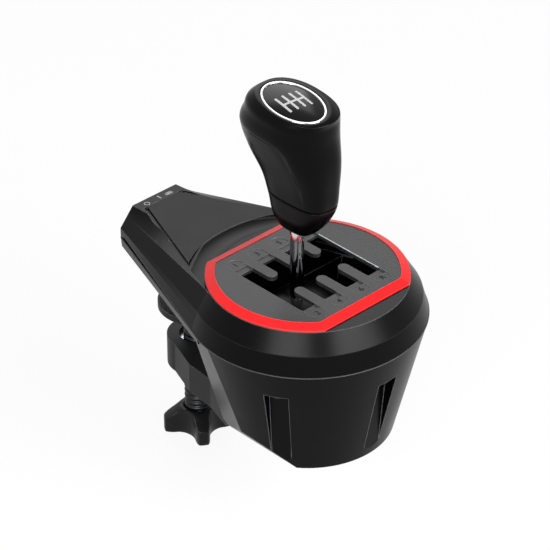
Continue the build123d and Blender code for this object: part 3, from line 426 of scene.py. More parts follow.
plate_metal, tree, shader, spot = new_material("coated_brushed_steel")
turned = add_node(tree, "ShaderNodeMapping", {"Vector": spot, "Rotation": (0, 0, BRUSH_TURN)})
brushing = add_node(
    tree, "ShaderNodeTexWave",
    {
        "Vector": turned.outputs[0], "Scale": 1.0 / (BRUSH_PITCH_MM * MM * WAVE_BANDS),
        "Distortion": 7.0, "Detail": 3.0, "Detail Scale": 0.5, "Detail Roughness": 0.6,
    },
    bands_direction="Y",
)
rounded, edge = rounded_edge_highlight(
    tree, PLATE_EDGE_MM, PLATE_HIGHLIGHT_START, PLATE_HIGHLIGHT_FULL, PLATE_HIGHLIGHT_SHARE
)
bump = add_node(
    tree, "ShaderNodeBump",
    {
        "Height": brushing.outputs["Fac"], "Distance": BRUSH_DEPTH_MM * MM, "Strength": 1.0,
        "Normal": rounded,
    },
)
lined = add_node(
    tree, "ShaderNodeMixRGB",
    {"Fac": brushing.outputs["Fac"], "Color1": linear("#202021"), "Color2": linear("#303032")},
)
# A paler colour is painted along the plate's edges here, as a highlight.
edged = add_node(
    tree, "ShaderNodeMixRGB",
    {"Fac": edge, "Color1": lined.outputs[0], "Color2": linear("#8a8a8c")},
)
set_inputs(tree, shader, {
    "Base Color": edged.outputs[0], "Normal": bump.outputs[0], "Roughness": 0.40,
    "IOR": PLASTIC_IOR, "Specular IOR Level": 0.20,
})
print("brush lines every", BRUSH_PITCH_MM, "mm")

# %% [markdown]
# ## Bare metals
#
# The rod is chromium plate over polished steel: nearly a mirror, with faint lines from the
# polishing wheel. The screws and the axle are zinc plated, duller and slightly blue. The
# lever's hub is die-cast alloy, sandy to the touch. The bushes are sintered bronze and the
# magnets are nickel plated. A metal keeps the default IOR, since its colour carries it. The
# real lines and grains are a tenth as wide as drawn here, too fine to show.

# %% Bare metals
METAL_ROUGHNESS_SPREAD = 0.15


def bare_metal(name, colour, roughness, line_mm, line_depth_mm, stretch=1.0, tone=0.08):
    """A bare metal with fine lines or grain, stretched along z where it was turned or drawn."""
    material, tree, shader, spot = new_material(name)
    drawn = add_node(tree, "ShaderNodeMapping", {"Vector": spot, "Scale": (1.0, 1.0, stretch)})
    lines = add_node(
        tree, "ShaderNodeTexNoise",
        {"Vector": drawn.outputs[0], "Scale": 1.0 / (line_mm * MM), "Detail": 3.0},
    )
    bump = add_node(
        tree, "ShaderNodeBump",
        {"Height": lines.outputs["Fac"], "Distance": line_depth_mm * MM, "Strength": 1.0},
    )
    shade = add_node(
        tree, "ShaderNodeMapRange",
        {"Value": lines.outputs["Fac"], "To Min": 1.0 - tone, "To Max": 1.0 + tone},
    )
    toned = add_node(
        tree, "ShaderNodeVectorMath", {0: linear(colour)[:3], "Scale": shade.outputs[0]},
        operation="SCALE",
    )
    rough = add_node(
        tree, "ShaderNodeMapRange",
        {
            "Value": lines.outputs["Fac"], "To Min": roughness * (1.0 - METAL_ROUGHNESS_SPREAD),
            "To Max": roughness * (1.0 + METAL_ROUGHNESS_SPREAD),
        },
    )
    set_inputs(tree, shader, {
        "Base Color": toned.outputs[0], "Roughness": rough.outputs[0], "Normal": bump.outputs[0],
        "Metallic": 1.0,
    })
    return material


# After the name and the colour come the roughness, the lines' width and their depth in mm.
chromium_plate = bare_metal(
    "chromium_plate_polished", "#c9cacc", 0.07, 1.5, 0.0008, stretch=4.0, tone=0.02
)
zinc_plate = bare_metal("zinc_plated_steel", "#a9adb2", 0.34, 0.6, 0.004)
cast_metal = bare_metal("die_cast_alloy", "#9b9ca0", 0.50, 0.8, 0.03)
bronze = bare_metal("sintered_bronze", "#9c6b3c", 0.42, 0.5, 0.01)
nickel_plate = bare_metal("nickel_plate", "#b9b5aa", 0.16, 0.8, 0.001, tone=0.04)
black_steel = bare_metal("blackened_steel", "#2e2f31", 0.38, 0.7, 0.006, tone=0.15)
bright_trim = bare_metal("bright_plated_trim", "#e6e7e8", 0.16, 0.6, 0.001, tone=0.02)
print("materials made so far:", len(bpy.data.materials))

# %% [markdown]
# ## Rubber and circuit board
#
# The pads are moulded rubber, which is matt and a little grey, with a fine cross-ribbed face
# so that they grip. The boards are glass and epoxy under a green solder mask, through which
# the weave of the glass shows faintly. Its threads are about half a millimetre apart, and
# are drawn a little coarser.

# %% Rubber and circuit board


def ribbed_material(name, colour, light_colour, roughness, specular, rib_mm, rib_depth_mm):
    """A surface with two crossed sets of fine ribs or threads."""
    material, tree, shader, spot = new_material(name)
    ribs = [
        add_node(
            tree, "ShaderNodeTexWave", {"Vector": spot, "Scale": 1.0 / (rib_mm * MM * WAVE_BANDS)},
            bands_direction=direction,
        )
        for direction in ("X", "Y")
    ]
    crossed = add_node(
        tree, "ShaderNodeMath", {0: ribs[0].outputs["Fac"], 1: ribs[1].outputs["Fac"]},
        operation="MULTIPLY",
    )
    bump = add_node(
        tree, "ShaderNodeBump", {"Height": crossed.outputs[0], "Distance": rib_depth_mm * MM}
    )
    toned = add_node(
        tree, "ShaderNodeMixRGB",
        {"Fac": crossed.outputs[0], "Color1": linear(colour), "Color2": linear(light_colour)},
    )
    set_inputs(tree, shader, {
        "Base Color": toned.outputs[0], "Normal": bump.outputs[0], "Roughness": roughness,
        "IOR": PLASTIC_IOR, "Specular IOR Level": specular,
    })
    return material


pad_rubber = ribbed_material(
    "moulded_rubber", "#161617", "#232325", roughness=0.75, specular=0.25,
    rib_mm=2.0, rib_depth_mm=0.25,
)
board_mask = ribbed_material(
    "green_solder_mask", "#0f4a28", "#146035", roughness=0.35, specular=0.45,
    rib_mm=0.9, rib_depth_mm=0.01,
)
print("materials made so far:", len(bpy.data.materials))

# %% [markdown]
# ## Finishes on the CAD nodes
#
# The CAD nodes whose shape is already right keep it, and only get a finish. Each row names a
# finish and the nodes that have it.

# %% Finishes on the CAD nodes
FINISHES = (
    (casing_plastic, ("top_cover", "lower_housing", "cradle", "select_yoke", "dust_cap")),
    (panel_plastic, ("arm_panel",)),
    (plate_metal, ("gate_plate",)),
    (red_plastic, ("gate_ring",)),
    (knob_plastic, ("knob_body", "knob_collar")),
    (badge_plastic, ("knob_badge",)),
    (bright_trim, ("knob_ring",)),
    (chromium_plate, ("lever_rod",)),
    (jaw_plastic, ("clamp_jaw", "clamp_pad")),
    (grip_plastic, ("star_knob",)),
    (black_steel, ("clamp_screw", "case_screws", "gate_screws")),
    (pad_rubber, ("rest_pad", "pad_facing")),
    (zinc_plate, (
        "jaw_screws", "cradle_screws", "shift_axle", "yoke_pins", "centring_spring", "clamp_nut",
        "detent_plunger", "detent_plug", "detent_spring",
    )),
    (cast_metal, ("lever_hub",)),
    (bronze, ("cradle_bushes",)),
    (nickel_plate, ("select_magnet", "shift_magnet")),
    (board_mask, ("main_board", "select_sensor", "shift_sensor")),
    (socket_plastic, ("round_socket", "flat_socket")),
)

finished = set()
for material, names in FINISHES:
    for name in names:
        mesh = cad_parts[name].data
        mesh.materials.clear()
        mesh.materials.append(material)
        finished.add(name)
print("nodes with no finish yet:", sorted(set(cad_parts) - finished))

# %% [markdown]
# ## Building a mesh from rings
#
# The knob, the thread and the star grip are all made the same way: a stack of closed rings
# with the same number of points, joined by four-sided faces. The points run anticlockwise as
# seen from the last ring, so that the faces look outwards. One helper makes such a mesh, and
# another puts it in the scene and lets it ride on its body.

# %% Rings to mesh


def add_piece(name, mesh, material, body, smooth=True):
    """Puts a mesh in the scene as a piece of the object, riding on a CAD body."""
    piece = bpy.data.objects.new(name, mesh)
    bpy.context.scene.collection.objects.link(piece)
    mesh.materials.append(material)
    for face in mesh.polygons:
        face.use_smooth = smooth
    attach(piece, body)
    return piece


def mesh_from_rings(name, rings, close_first=True, close_last=True):
    """A tube through rings of points, with a face over each end that is to be closed."""
    count = len(rings[0])
    points = [point for ring in rings for point in ring]
    faces = [
        (
            level * count + i, level * count + (i + 1) % count,
            (level + 1) * count + (i + 1) % count, (level + 1) * count + i,
        )
        for level in range(len(rings) - 1)
        for i in range(count)
    ]
    if close_first:
        faces.append(tuple(reversed(range(count))))
    if close_last:
        faces.append(tuple(range(len(points) - count, len(points))))
    mesh = bpy.data.meshes.new(name)
    mesh.from_pydata(points, [], faces)
    mesh.validate()
    return mesh


print("ring helpers ready")

# %% [markdown]
# ## Knob
#
# The knob is a moulded grip: a squarish foot that swells into an oval head, which leans away
# from the driver and ends in a tilted top with an oval badge. Each level below gives a height
# over the gate, half the width, half the length and the middle there. The sizes between two
# levels lie on a smooth curve through all of them. The knob could be sculpted by hand
# instead, but a short list of levels is easier to fit to the photograph, and to change.

# %% Knob levels
GATE_PITCH = 19.3
LEVER_X = -GATE_PITCH / 2
KNOB_LEVELS = (
    (38.0, 7.8, 11.0, -2.0),
    (39.5, 9.4, 13.0, -2.4),
    (43.0, 11.0, 15.8, -2.9),
    (49.0, 12.7, 19.4, -3.6),
    (60.0, 13.3, 23.8, -4.8),
    (75.0, 15.5, 27.1, -2.7),
    (92.0, 20.3, 32.8, 3.0),
    (108.0, 24.5, 34.5, 6.9),
    (118.0, 24.0, 32.4, 4.9),
    (123.0, 23.5, 31.4, 3.7),
    (127.0, 20.6, 29.4, 0.5),
)
KNOB_FOOT = KNOB_LEVELS[0][0]
KNOB_TOP = KNOB_LEVELS[-1][0]
KNOB_SEAM = 62.0


def knob_sizes(height):
    """Half the width, half the length and the middle of the knob at a height."""
    last = len(KNOB_LEVELS) - 2
    i = max(0, min(last, sum(level[0] <= height for level in KNOB_LEVELS) - 1))
    before, start = KNOB_LEVELS[max(i - 1, 0)], KNOB_LEVELS[i]
    end, after = KNOB_LEVELS[i + 1], KNOB_LEVELS[min(i + 2, last + 1)]
    step = end[0] - start[0]
    t = (height - start[0]) / step
    sizes = []
    for a, b, c, d in zip(before[1:], start[1:], end[1:], after[1:]):
        slope_b = (c - a) / (end[0] - before[0]) * step
        slope_c = (d - b) / (after[0] - start[0]) * step
        sizes.append(
            (2 * t**3 - 3 * t**2 + 1) * b + (t**3 - 2 * t**2 + t) * slope_b
            + (3 * t**2 - 2 * t**3) * c + (t**3 - t**2) * slope_c
        )
    return sizes


print("knob is", round(KNOB_TOP - KNOB_FOOT), "mm high")

# %% [markdown]
# On each side a shallow scoop for the fingers is pressed in behind a soft crease. The crease
# runs along under the head and then turns down the front corner. The scoop fades out towards
# the back and towards the seam at the foot. It is a formula that moves the skin's own points
# inwards, so it needs no cutting and leaves no extra faces.

# %% Finger scoops
CREASE_TOP = 108.5
CREASE_FRONT = math.radians(64)
CREASE_CORNER_HEIGHT = 9.0
CREASE_CORNER_TURN = math.radians(20)
SCOOP_DEPTH = 0.9
SCOOP_STEP_SHARE = 0.35
SCOOP_BACK_LOSS = 0.8
SCOOP_BACK_START = math.radians(80)
SCOOP_BACK_TURN = math.radians(70)
SCOOP_FOOT = KNOB_SEAM - 4.0
SCOOP_FOOT_FADE = 30.0


def eased(value):
    """A value held between 0 and 1, with soft ends."""
    value = min(1.0, max(0.0, value))
    return value * value * (3 - 2 * value)


def scoop_press(height, turn):
    """How far the skin is pressed in at a height and a turn round the knob, in millimetres."""
    from_front = abs((turn + math.pi / 2 + math.pi) % (2 * math.pi) - math.pi)
    past_front = (from_front - CREASE_FRONT) / CREASE_CORNER_TURN
    below_top = (CREASE_TOP - height) / CREASE_CORNER_HEIGHT
    inside = 1 - math.hypot(max(0.0, 1 - past_front), max(0.0, 1 - below_top))
    back_fade = 1 - SCOOP_BACK_LOSS * eased((from_front - SCOOP_BACK_START) / SCOOP_BACK_TURN)
    foot_fade = eased((height - SCOOP_FOOT) / SCOOP_FOOT_FADE)
    return SCOOP_DEPTH * eased(inside / SCOOP_STEP_SHARE) * back_fade * foot_fade


print("scoop at the knob's side:", round(scoop_press(SCOOP_FOOT + SCOOP_FOOT_FADE, 0.0), 2), "mm")

# %% [markdown]
# A level's outline is a rounded rectangle: a circle whose sine and cosine are raised to a
# power. The power falls from the squarish foot to the rounder head, and the levels tilt more
# and more towards the top.

# %% Knob skin
KNOB_TILT = math.radians(5.5)
TILT_POWER = 4
KNOB_POINTS = 180
FOOT_POWER = 3.3
HEAD_POWER = 2.3
POWER_CHANGE_HEIGHT = 50.0


def knob_point(height, turn, grow=0.0):
    """A point of the knob's skin at a height and a turn round it, in millimetres."""
    half_width, half_length, middle = knob_sizes(height)
    head_share = eased((height - KNOB_SEAM) / POWER_CHANGE_HEIGHT)
    power = FOOT_POWER + (HEAD_POWER - FOOT_POWER) * head_share
    side = math.copysign(abs(math.cos(turn)) ** (2 / power), math.cos(turn))
    along = math.copysign(abs(math.sin(turn)) ** (2 / power), math.sin(turn))
    x = (half_width + grow - scoop_press(height, turn)) * side
    y = (half_length + grow) * along
    tilt_share = ((height - KNOB_FOOT) / (KNOB_TOP - KNOB_FOOT)) ** TILT_POWER
    return Vector((LEVER_X + x, middle + y, height + y * math.tan(KNOB_TILT * tilt_share)))


def knob_ring(height, grow=0.0):
    """One closed ring of the knob's skin."""
    return [
        place(*knob_point(height, 2 * math.pi * i / KNOB_POINTS, grow)) for i in range(KNOB_POINTS)
    ]


print("points round the knob:", KNOB_POINTS)

# %% [markdown]
# The badge is a domed black lens in a bright ring, set in an oval pocket in the knob's top.
# Its long axis is turned a few degrees, as in the photograph. Points on it are given in
# millimetres from its middle, across and along, and below the knob's top.

# %% Badge place
BADGE_MIDDLE = (LEVER_X - 1.5, 2.0)
BADGE_TURN = math.radians(-6.0)
BADGE_HALF_WIDTH = 15.7
BADGE_HALF_LENGTH = 23.4
BADGE_RING_WIDTH = 1.5
BADGE_POCKET = 1.2


def badge_place(across, along, drop=0.0):
    """A point over the badge's middle, in metres."""
    x = BADGE_MIDDLE[0] + across * math.cos(BADGE_TURN) - along * math.sin(BADGE_TURN)
    y = across * math.sin(BADGE_TURN) + along * math.cos(BADGE_TURN)
    return place(
        x,
        BADGE_MIDDLE[1] + y * math.cos(KNOB_TILT) + drop * math.sin(KNOB_TILT),
        KNOB_TOP + (BADGE_MIDDLE[1] + y) * math.sin(KNOB_TILT) - drop * math.cos(KNOB_TILT),
    )


def badge_oval(grow, drop):
    """An oval round the badge, grown by some millimetres and sunk below the knob's top."""
    half_width = BADGE_HALF_WIDTH + grow
    half_length = BADGE_HALF_LENGTH + grow
    turns = [2 * math.pi * i / KNOB_POINTS - BADGE_TURN for i in range(KNOB_POINTS)]
    return [badge_place(half_width * math.cos(t), half_length * math.sin(t), drop) for t in turns]


print("badge", 2 * BADGE_HALF_WIDTH, "by", 2 * BADGE_HALF_LENGTH, "mm")

# %% [markdown]
# The knob is two mouldings with a fine seam between them. The head's rings stand a millimetre
# apart up to the shoulder and closer on its rounding, and the last four make the pocket for
# the badge. A boolean could cut that pocket, but it would leave ragged faces round the oval.

# %% Knob head
SEAM_GAP = 0.3
SEAM_ROUND = 0.3
SEAM_STEP = 1.6
HEAD_START = 0.4
HEAD_STEPS = 55
SHOULDER_HEIGHTS = (
    118, 119, 120, 121, 121.8, 122.5, 123.2, 123.9, 124.6, 125.2, 125.8, 126.3, 126.7, 127,
)
POCKET_ROOM = 0.1
POCKET_ROUND = 0.6
POCKET_ROUND_DROP = 0.15
POCKET_FLOOR_INSET = 4.0

seam_top = KNOB_SEAM + SEAM_GAP
pocket_reach = BADGE_RING_WIDTH + POCKET_ROOM
head_heights = [seam_top + HEAD_START + i for i in range(HEAD_STEPS)] + list(SHOULDER_HEIGHTS)
knob_rings = (
    [knob_ring(seam_top, -SEAM_STEP), knob_ring(seam_top, -SEAM_ROUND)]
    + [knob_ring(h) for h in head_heights]
    + [badge_oval(pocket_reach + POCKET_ROUND, 0.0), badge_oval(pocket_reach, POCKET_ROUND_DROP)]
    + [badge_oval(pocket_reach, BADGE_POCKET), badge_oval(-POCKET_FLOOR_INSET, BADGE_POCKET)]
)
knob_shell = add_piece(
    "knob_shell", mesh_from_rings("knob_shell", knob_rings), knob_plastic, "lever"
)
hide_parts("knob_body")
print("knob head box", [round(v * 1000) for v in knob_shell.dimensions])

# %% [markdown]
# The foot is rounded at its lower edge, and ends in a low step that fills the seam from
# inside, so that no light passes between the mouldings.

# %% Knob foot
FOOT_HEIGHTS = (38.3, 38.7, 39.2, 40, 41, 42.5, 44, 46, 48, 50, 52, 54, 56, 58, 60, 61.3)
SEAM_CLEARANCE = 0.02
# Each pair is how far up and how far in.
FOOT_ROUNDING = ((0.0, 2.4), (0.0, 1.0), (0.05, 0.5))

foot_rings = (
    [knob_ring(KNOB_FOOT + up, -inset) for up, inset in FOOT_ROUNDING]
    + [knob_ring(h) for h in FOOT_HEIGHTS]
    + [knob_ring(KNOB_SEAM - SEAM_GAP, -SEAM_ROUND), knob_ring(KNOB_SEAM - SEAM_GAP, -SEAM_STEP)]
    + [knob_ring(seam_top - SEAM_CLEARANCE, -SEAM_STEP)]
)
knob_foot = add_piece(
    "knob_foot", mesh_from_rings("knob_foot", foot_rings), knob_plastic, "lever"
)
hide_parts("knob_collar")
print("knob foot box", [round(v * 1000) for v in knob_foot.dimensions])

# %% [markdown]
# The lens is a low dome. Its rings follow a quarter turn from the edge to the middle, so they
# stand close where the dome is steepest. Its edge lies a little below the knob's top. A
# squashed ball would be quicker, but its sides would stand upright at the edge.

# %% Badge lens
LENS_EDGE_DROP = 0.5
LENS_DOME = 1.6
LENS_RINGS = 10
LENS_ROOM = 0.05


def lens_ring(angle):
    """An oval of the dome: at angle 0 it is the lens's edge, at a right angle its middle."""
    half_width = BADGE_HALF_WIDTH * math.cos(angle)
    half_length = BADGE_HALF_LENGTH * math.cos(angle)
    drop = LENS_EDGE_DROP - LENS_DOME * math.sin(angle) ** 2
    turns = [2 * math.pi * i / KNOB_POINTS for i in range(KNOB_POINTS)]
    return [badge_place(half_width * math.cos(t), half_length * math.sin(t), drop) for t in turns]


lens_rings = [badge_oval(-LENS_ROOM, BADGE_POCKET)]
lens_rings += [lens_ring(math.pi / 2 * i / LENS_RINGS) for i in range(LENS_RINGS)]
badge_lens = add_piece(
    "badge_lens", mesh_from_rings("badge_lens", lens_rings), badge_plastic, "lever"
)
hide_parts("knob_badge")
print("lens rings:", len(lens_rings))

# %% [markdown]
# The bright ring round the lens is a thin plated trim with a rounded crown, which stands a
# little proud of the knob. Its profile runs from its outer foot over the crown to the inner
# one. A stretched torus would get thick at its ends, and this band keeps its width.

# %% Badge ring
RING_EDGE_DROP = 0.1
RING_SHOULDER = 0.25
RING_SHOULDER_RISE = 0.2
RING_CROWN_RISE = 0.32

ring_profile = (
    (BADGE_RING_WIDTH, BADGE_POCKET),
    (BADGE_RING_WIDTH, RING_EDGE_DROP),
    (BADGE_RING_WIDTH - RING_SHOULDER, -RING_SHOULDER_RISE),
    (BADGE_RING_WIDTH / 2, -RING_CROWN_RISE),
    (RING_SHOULDER, -RING_SHOULDER_RISE),
    (0.0, RING_EDGE_DROP),
    (0.0, BADGE_POCKET),
)
badge_rings = [badge_oval(grow, drop) for grow, drop in ring_profile]
badge_band = add_piece(
    "badge_band", mesh_from_rings("badge_band", badge_rings, False, False), bright_trim, "lever",
)
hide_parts("knob_ring")
print("badge ring box", [round(v * 1000, 1) for v in badge_band.dimensions])

# %% [markdown]
# ## Printed ink
#
# The print on this object is screen-printed: a flat film of ink, nearly even, whose pigment
# varies a little from spot to spot. The pigment is far finer than half a millimetre, and is
# drawn that coarse so that it shows. The badge's ink is silver.

# %% Printed ink


def printed_ink(name, dark, pale, roughness, specular=0.5, grain_mm=0.5):
    """A screen-printed ink whose tone wanders between two colours."""
    material, tree, shader, spot = new_material(name)
    grain = add_node(tree, "ShaderNodeTexNoise", {"Vector": spot, "Scale": 1.0 / (grain_mm * MM)})
    tone = add_node(
        tree, "ShaderNodeMixRGB",
        {"Fac": grain.outputs["Fac"], "Color1": linear(dark), "Color2": linear(pale)},
    )
    set_inputs(tree, shader, {
        "Base Color": tone.outputs[0], "Roughness": roughness, "IOR": PLASTIC_IOR,
        "Specular IOR Level": specular,
    })
    return material


silver_ink = printed_ink(
    "screen_print_ink_silver", "#8c8c8e", "#c4c4c6", roughness=0.35, grain_mm=0.4
)
print("ink made:", silver_ink.name)

# %% [markdown]
# The print on the lens is a plain gate diagram: four strokes for the columns and one across.
# Each is a thin bar with round ends. A flat bar would sink into the dome, so each stroke is a
# tube of small cross-sections, set down on the lens one by one.

# %% Gate diagram
DIAGRAM_PITCH = 5.4
DIAGRAM_REACH = 7.6
COLUMN_RISE = 0.06
ACROSS_RISE = 0.04
STROKE_HALF = 0.85
STROKE_TIP_HALF = 0.04
STROKE_SINK = 0.2
STROKE_STEPS = 24


def lens_drop(across, along):
    """How far the lens lies below the knob's top at a point on it, in millimetres."""
    reach = (across / BADGE_HALF_WIDTH) ** 2 + (along / BADGE_HALF_LENGTH) ** 2
    return LENS_EDGE_DROP - LENS_DOME * max(0.0, 1 - reach)


def add_stroke(name, start, end, height):
    """A thin printed bar with round ends on the lens, from one point to another."""
    way = Vector(end) - Vector(start)
    ahead = way.normalized()
    side = Vector((-ahead.y, ahead.x))
    half = way.length / 2
    section = ((1, -STROKE_SINK), (1, height), (0, height), (-1, height), (-1, -STROKE_SINK))
    rings = []
    for k in range(STROKE_STEPS + 1):
        reach = -math.cos(math.pi * k / STROKE_STEPS) * (half + STROKE_HALF)
        past = max(0.0, abs(reach) - half)
        wide = max(STROKE_TIP_HALF, math.sqrt(max(0.0, STROKE_HALF**2 - past**2)))
        middle = (Vector(start) + Vector(end)) / 2 + ahead * reach
        corners = [(middle + side * (out * wide), rise) for out, rise in section]
        rings.append([badge_place(p.x, p.y, lens_drop(p.x, p.y) - rise) for p, rise in corners])
    mesh = mesh_from_rings(name, rings)
    add_piece(name, mesh, silver_ink, "lever", smooth=False)


for column in range(4):
    across = (column - 1.5) * DIAGRAM_PITCH
    top, foot = (across, DIAGRAM_REACH), (across, -DIAGRAM_REACH)
    add_stroke("diagram_" + str(column), foot, top, COLUMN_RISE)
add_stroke("diagram_across", (-1.5 * DIAGRAM_PITCH, 0), (1.5 * DIAGRAM_PITCH, 0), ACROSS_RISE)
print("diagram is", 3 * DIAGRAM_PITCH, "by", 2 * DIAGRAM_REACH, "mm")

# %% [markdown]
# ## Clamp screw
#
# The screw is black steel with a coarse rolled thread, 4 mm to the turn, whose crests and
# roots are rounded. In the CAD it is a plain rod of the crests' radius. Here each ring of the
# mesh follows the thread, so its radius changes with the turn and the height together. A
# profile wound along a helix would give the same thread, but with open ends and faces that
# cut through each other where the turns meet. The thread fades out at both ends, where the
# neck and the grip begin.

# %% Thread rings
SCREW_RADIUS = 9.5
THREAD_DEPTH = 1.35
THREAD_PITCH = 4.0
VALLEY_POWER = 1.4
THREAD_POINTS = 56


def axis_ring(radii, height):
    """A ring round the screw's axis, with one radius for each point, in metres."""
    turns = [2 * math.pi * i / len(radii) for i in range(len(radii))]
    return [
        (r * math.cos(t) * MM, r * math.sin(t) * MM, height * MM) for r, t in zip(radii, turns)
    ]


def round_ring(radius, height):
    """A plain round ring."""
    return axis_ring([radius] * THREAD_POINTS, height)


def thread_ring(height, depth_share):
    """A ring that dips into the thread's valley, which moves round as the height grows."""
    radii = []
    for i in range(THREAD_POINTS):
        phase = (height / THREAD_PITCH - i / THREAD_POINTS) % 1.0
        valley = (0.5 - 0.5 * math.cos(2 * math.pi * phase)) ** VALLEY_POWER
        radii.append(SCREW_RADIUS - THREAD_DEPTH * valley * depth_share)
    return axis_ring(radii, height)


print("thread", THREAD_PITCH, "mm to the turn and", THREAD_DEPTH, "mm deep")

# %% [markdown]
# The rod's length is read from the CAD node that this mesh stands for. Above the thread a
# plain neck carries the pressure pad.

# %% Clamp screw
RINGS_PER_TURN = 12
THREAD_END = 0.6
THREAD_FADE = 3.0
NECK_LENGTH = 5.0
NECK_RADIUS = 6.5
NECK_CHAMFER = 0.5

screw_low, screw_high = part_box("clamp_screw")
thread_foot = screw_low.z * 1000
thread_top = screw_high.z * 1000 - NECK_LENGTH
neck_top = thread_top + NECK_LENGTH
thread_rings = [round_ring(SCREW_RADIUS - THREAD_DEPTH, thread_foot)]
height = thread_foot + THREAD_END
while height < thread_top - THREAD_END:
    from_end = min(height - thread_foot, thread_top - height)
    thread_rings.append(thread_ring(height, min(1.0, from_end / THREAD_FADE)))
    height += THREAD_PITCH / RINGS_PER_TURN
thread_rings += [
    round_ring(SCREW_RADIUS - THREAD_END, thread_top), round_ring(NECK_RADIUS, thread_top),
    round_ring(NECK_RADIUS, neck_top - NECK_CHAMFER),
    round_ring(NECK_RADIUS - NECK_CHAMFER, neck_top),
]
clamp_thread = add_piece(
    "clamp_thread", mesh_from_rings("clamp_thread", thread_rings), black_steel, "screw",
)
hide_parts("clamp_screw")
print("thread turns:", round((thread_top - thread_foot) / THREAD_PITCH, 1))

# %% [markdown]
# ## Star grip
#
# The grip under the clamp has four lobes with deep scallops between them, moulded in nylon.
# The outline is the smaller of the outer circle and the scallops, averaged over a few
# degrees, which rounds its corners as the mould does. A formula keeps all four lobes alike.

# %% Star outline
STAR_RADIUS = 24.0
SCALLOP_RADIUS = 14.6
SCALLOP_OUT = 27.1
LOBES = 4
LOBE_TURN = math.radians(56.0)
STAR_POINTS = 240
CORNER_AVERAGE = 3


def star_reach(turn):
    """How far the grip's sharp outline is from its axis in a direction, in millimetres."""
    spacing = 2 * math.pi / LOBES
    off = (turn - LOBE_TURN) % spacing - spacing / 2
    across = SCALLOP_OUT * math.sin(off)
    if abs(across) >= SCALLOP_RADIUS:
        return STAR_RADIUS
    return min(STAR_RADIUS, SCALLOP_OUT * math.cos(off) - math.sqrt(SCALLOP_RADIUS**2 - across**2))


sharp = [star_reach(2 * math.pi * i / STAR_POINTS) for i in range(STAR_POINTS)]
outline = [
    sum(sharp[(i + k) % STAR_POINTS] for k in range(-CORNER_AVERAGE, CORNER_AVERAGE + 1))
    / (2 * CORNER_AVERAGE + 1)
    for i in range(STAR_POINTS)
]
print("star reach from", round(min(outline), 1), "to", round(max(outline), 1), "mm")

# %% [markdown]
# The grip's top slopes from the hub to the lobes. Small steps at the top and the foot round
# those edges. The rings run from the foot up the side and in over the top to the bore.

# %% Star grip
STAR_HUB = 12.6
STAR_TOP = -119.0
STAR_SHOULDER = -127.0
BORE_ROOM = 0.1
BORE_DEPTH = 3.0
TOP_INSET = 1.0
TOP_SHARES = (1.0, 0.93, 0.75, 0.5, 0.25)
# Each pair is how far in, and how far down from the top or up from the foot.
TOP_ROUNDING = ((0.0, 1.1), (0.1, 0.55), (0.45, 0.12))
STAR_FOOT_ROUNDING = ((1.0, 0.0), (0.3, 0.3), (0.0, 1.0), (0.0, 4.0))


def star_ring(inset, drop=0.0, share=1.0, level=None):
    """A ring on the sloping top, or at a level: share 1 is the outline, share 0 the bore."""
    ring = []
    for i, reach in enumerate(outline):
        angle = 2 * math.pi * i / STAR_POINTS
        radius = (SCREW_RADIUS + BORE_ROOM) * (1 - share) + (reach - inset) * share
        out_share = max(0.0, radius - STAR_HUB) / (STAR_RADIUS - STAR_HUB)
        slope = STAR_TOP - out_share * (STAR_TOP - STAR_SHOULDER)
        z = slope - drop if level is None else level
        ring.append((radius * math.cos(angle) * MM, radius * math.sin(angle) * MM, z * MM))
    return ring


star_rings = [star_ring(inset, level=STAR_FOOT + up) for inset, up in STAR_FOOT_ROUNDING]
star_rings += [star_ring(inset, drop) for inset, drop in TOP_ROUNDING]
star_rings += [star_ring(TOP_INSET, share=share) for share in TOP_SHARES]
star_rings += [star_ring(0.0, share=0.0), star_ring(0.0, BORE_DEPTH, share=0.0)]
star_grip = add_piece(
    "star_grip", mesh_from_rings("star_grip", star_rings, close_last=False), grip_plastic, "screw",
)
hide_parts("star_knob")
print("star grip box", [round(v * 1000, 1) for v in star_grip.dimensions])

# %% [markdown]
# ## Numbers on the gate
#
# Each slot ends in a sunk tongue that carries its gear: 1, 3, 5 and 7 on the far side, and 2,
# 4, 6 and R on the near side. The numbers are printed in dark ink a few hundredths of a
# millimetre thick, so they are made as thin solid letters that stand on the tongue's floor.

# %% Numbers on the gate
TONGUE_DROP = 0.35
FAR_TONGUE = 36.2
NEAR_TONGUE = -38.4
INK_THICKNESS = 0.06
NUMBER_HEIGHT = 6.2
dark_ink = printed_ink(
    "screen_print_ink_dark", "#030303", "#0a0a0b", roughness=0.5, specular=0.03
)


def add_number(gear, x, y):
    """A gear's number as a thin solid, upright to the driver, riding on the housing."""
    name = "gear_" + gear
    curve = bpy.data.curves.new(name, "FONT")
    curve.body = gear
    curve.size = NUMBER_HEIGHT * MM
    curve.extrude = INK_THICKNESS * MM / 2
    curve.align_x = "CENTER"
    curve.align_y = "CENTER"
    letter = bpy.data.objects.new(name, curve)
    bpy.context.scene.collection.objects.link(letter)
    bpy.context.view_layer.update()
    mesh = bpy.data.meshes.new_from_object(letter)
    bpy.data.objects.remove(letter)
    mesh.transform(Matrix.Translation(place(x, y, INK_THICKNESS / 2 - TONGUE_DROP)))
    add_piece(name, mesh, dark_ink, "housing", smooth=False)


for column, (far_gear, near_gear) in enumerate(zip("1357", "246R")):
    x = (column - 1.5) * GATE_PITCH
    add_number(far_gear, x, FAR_TONGUE)
    add_number(near_gear, x, NEAR_TONGUE)
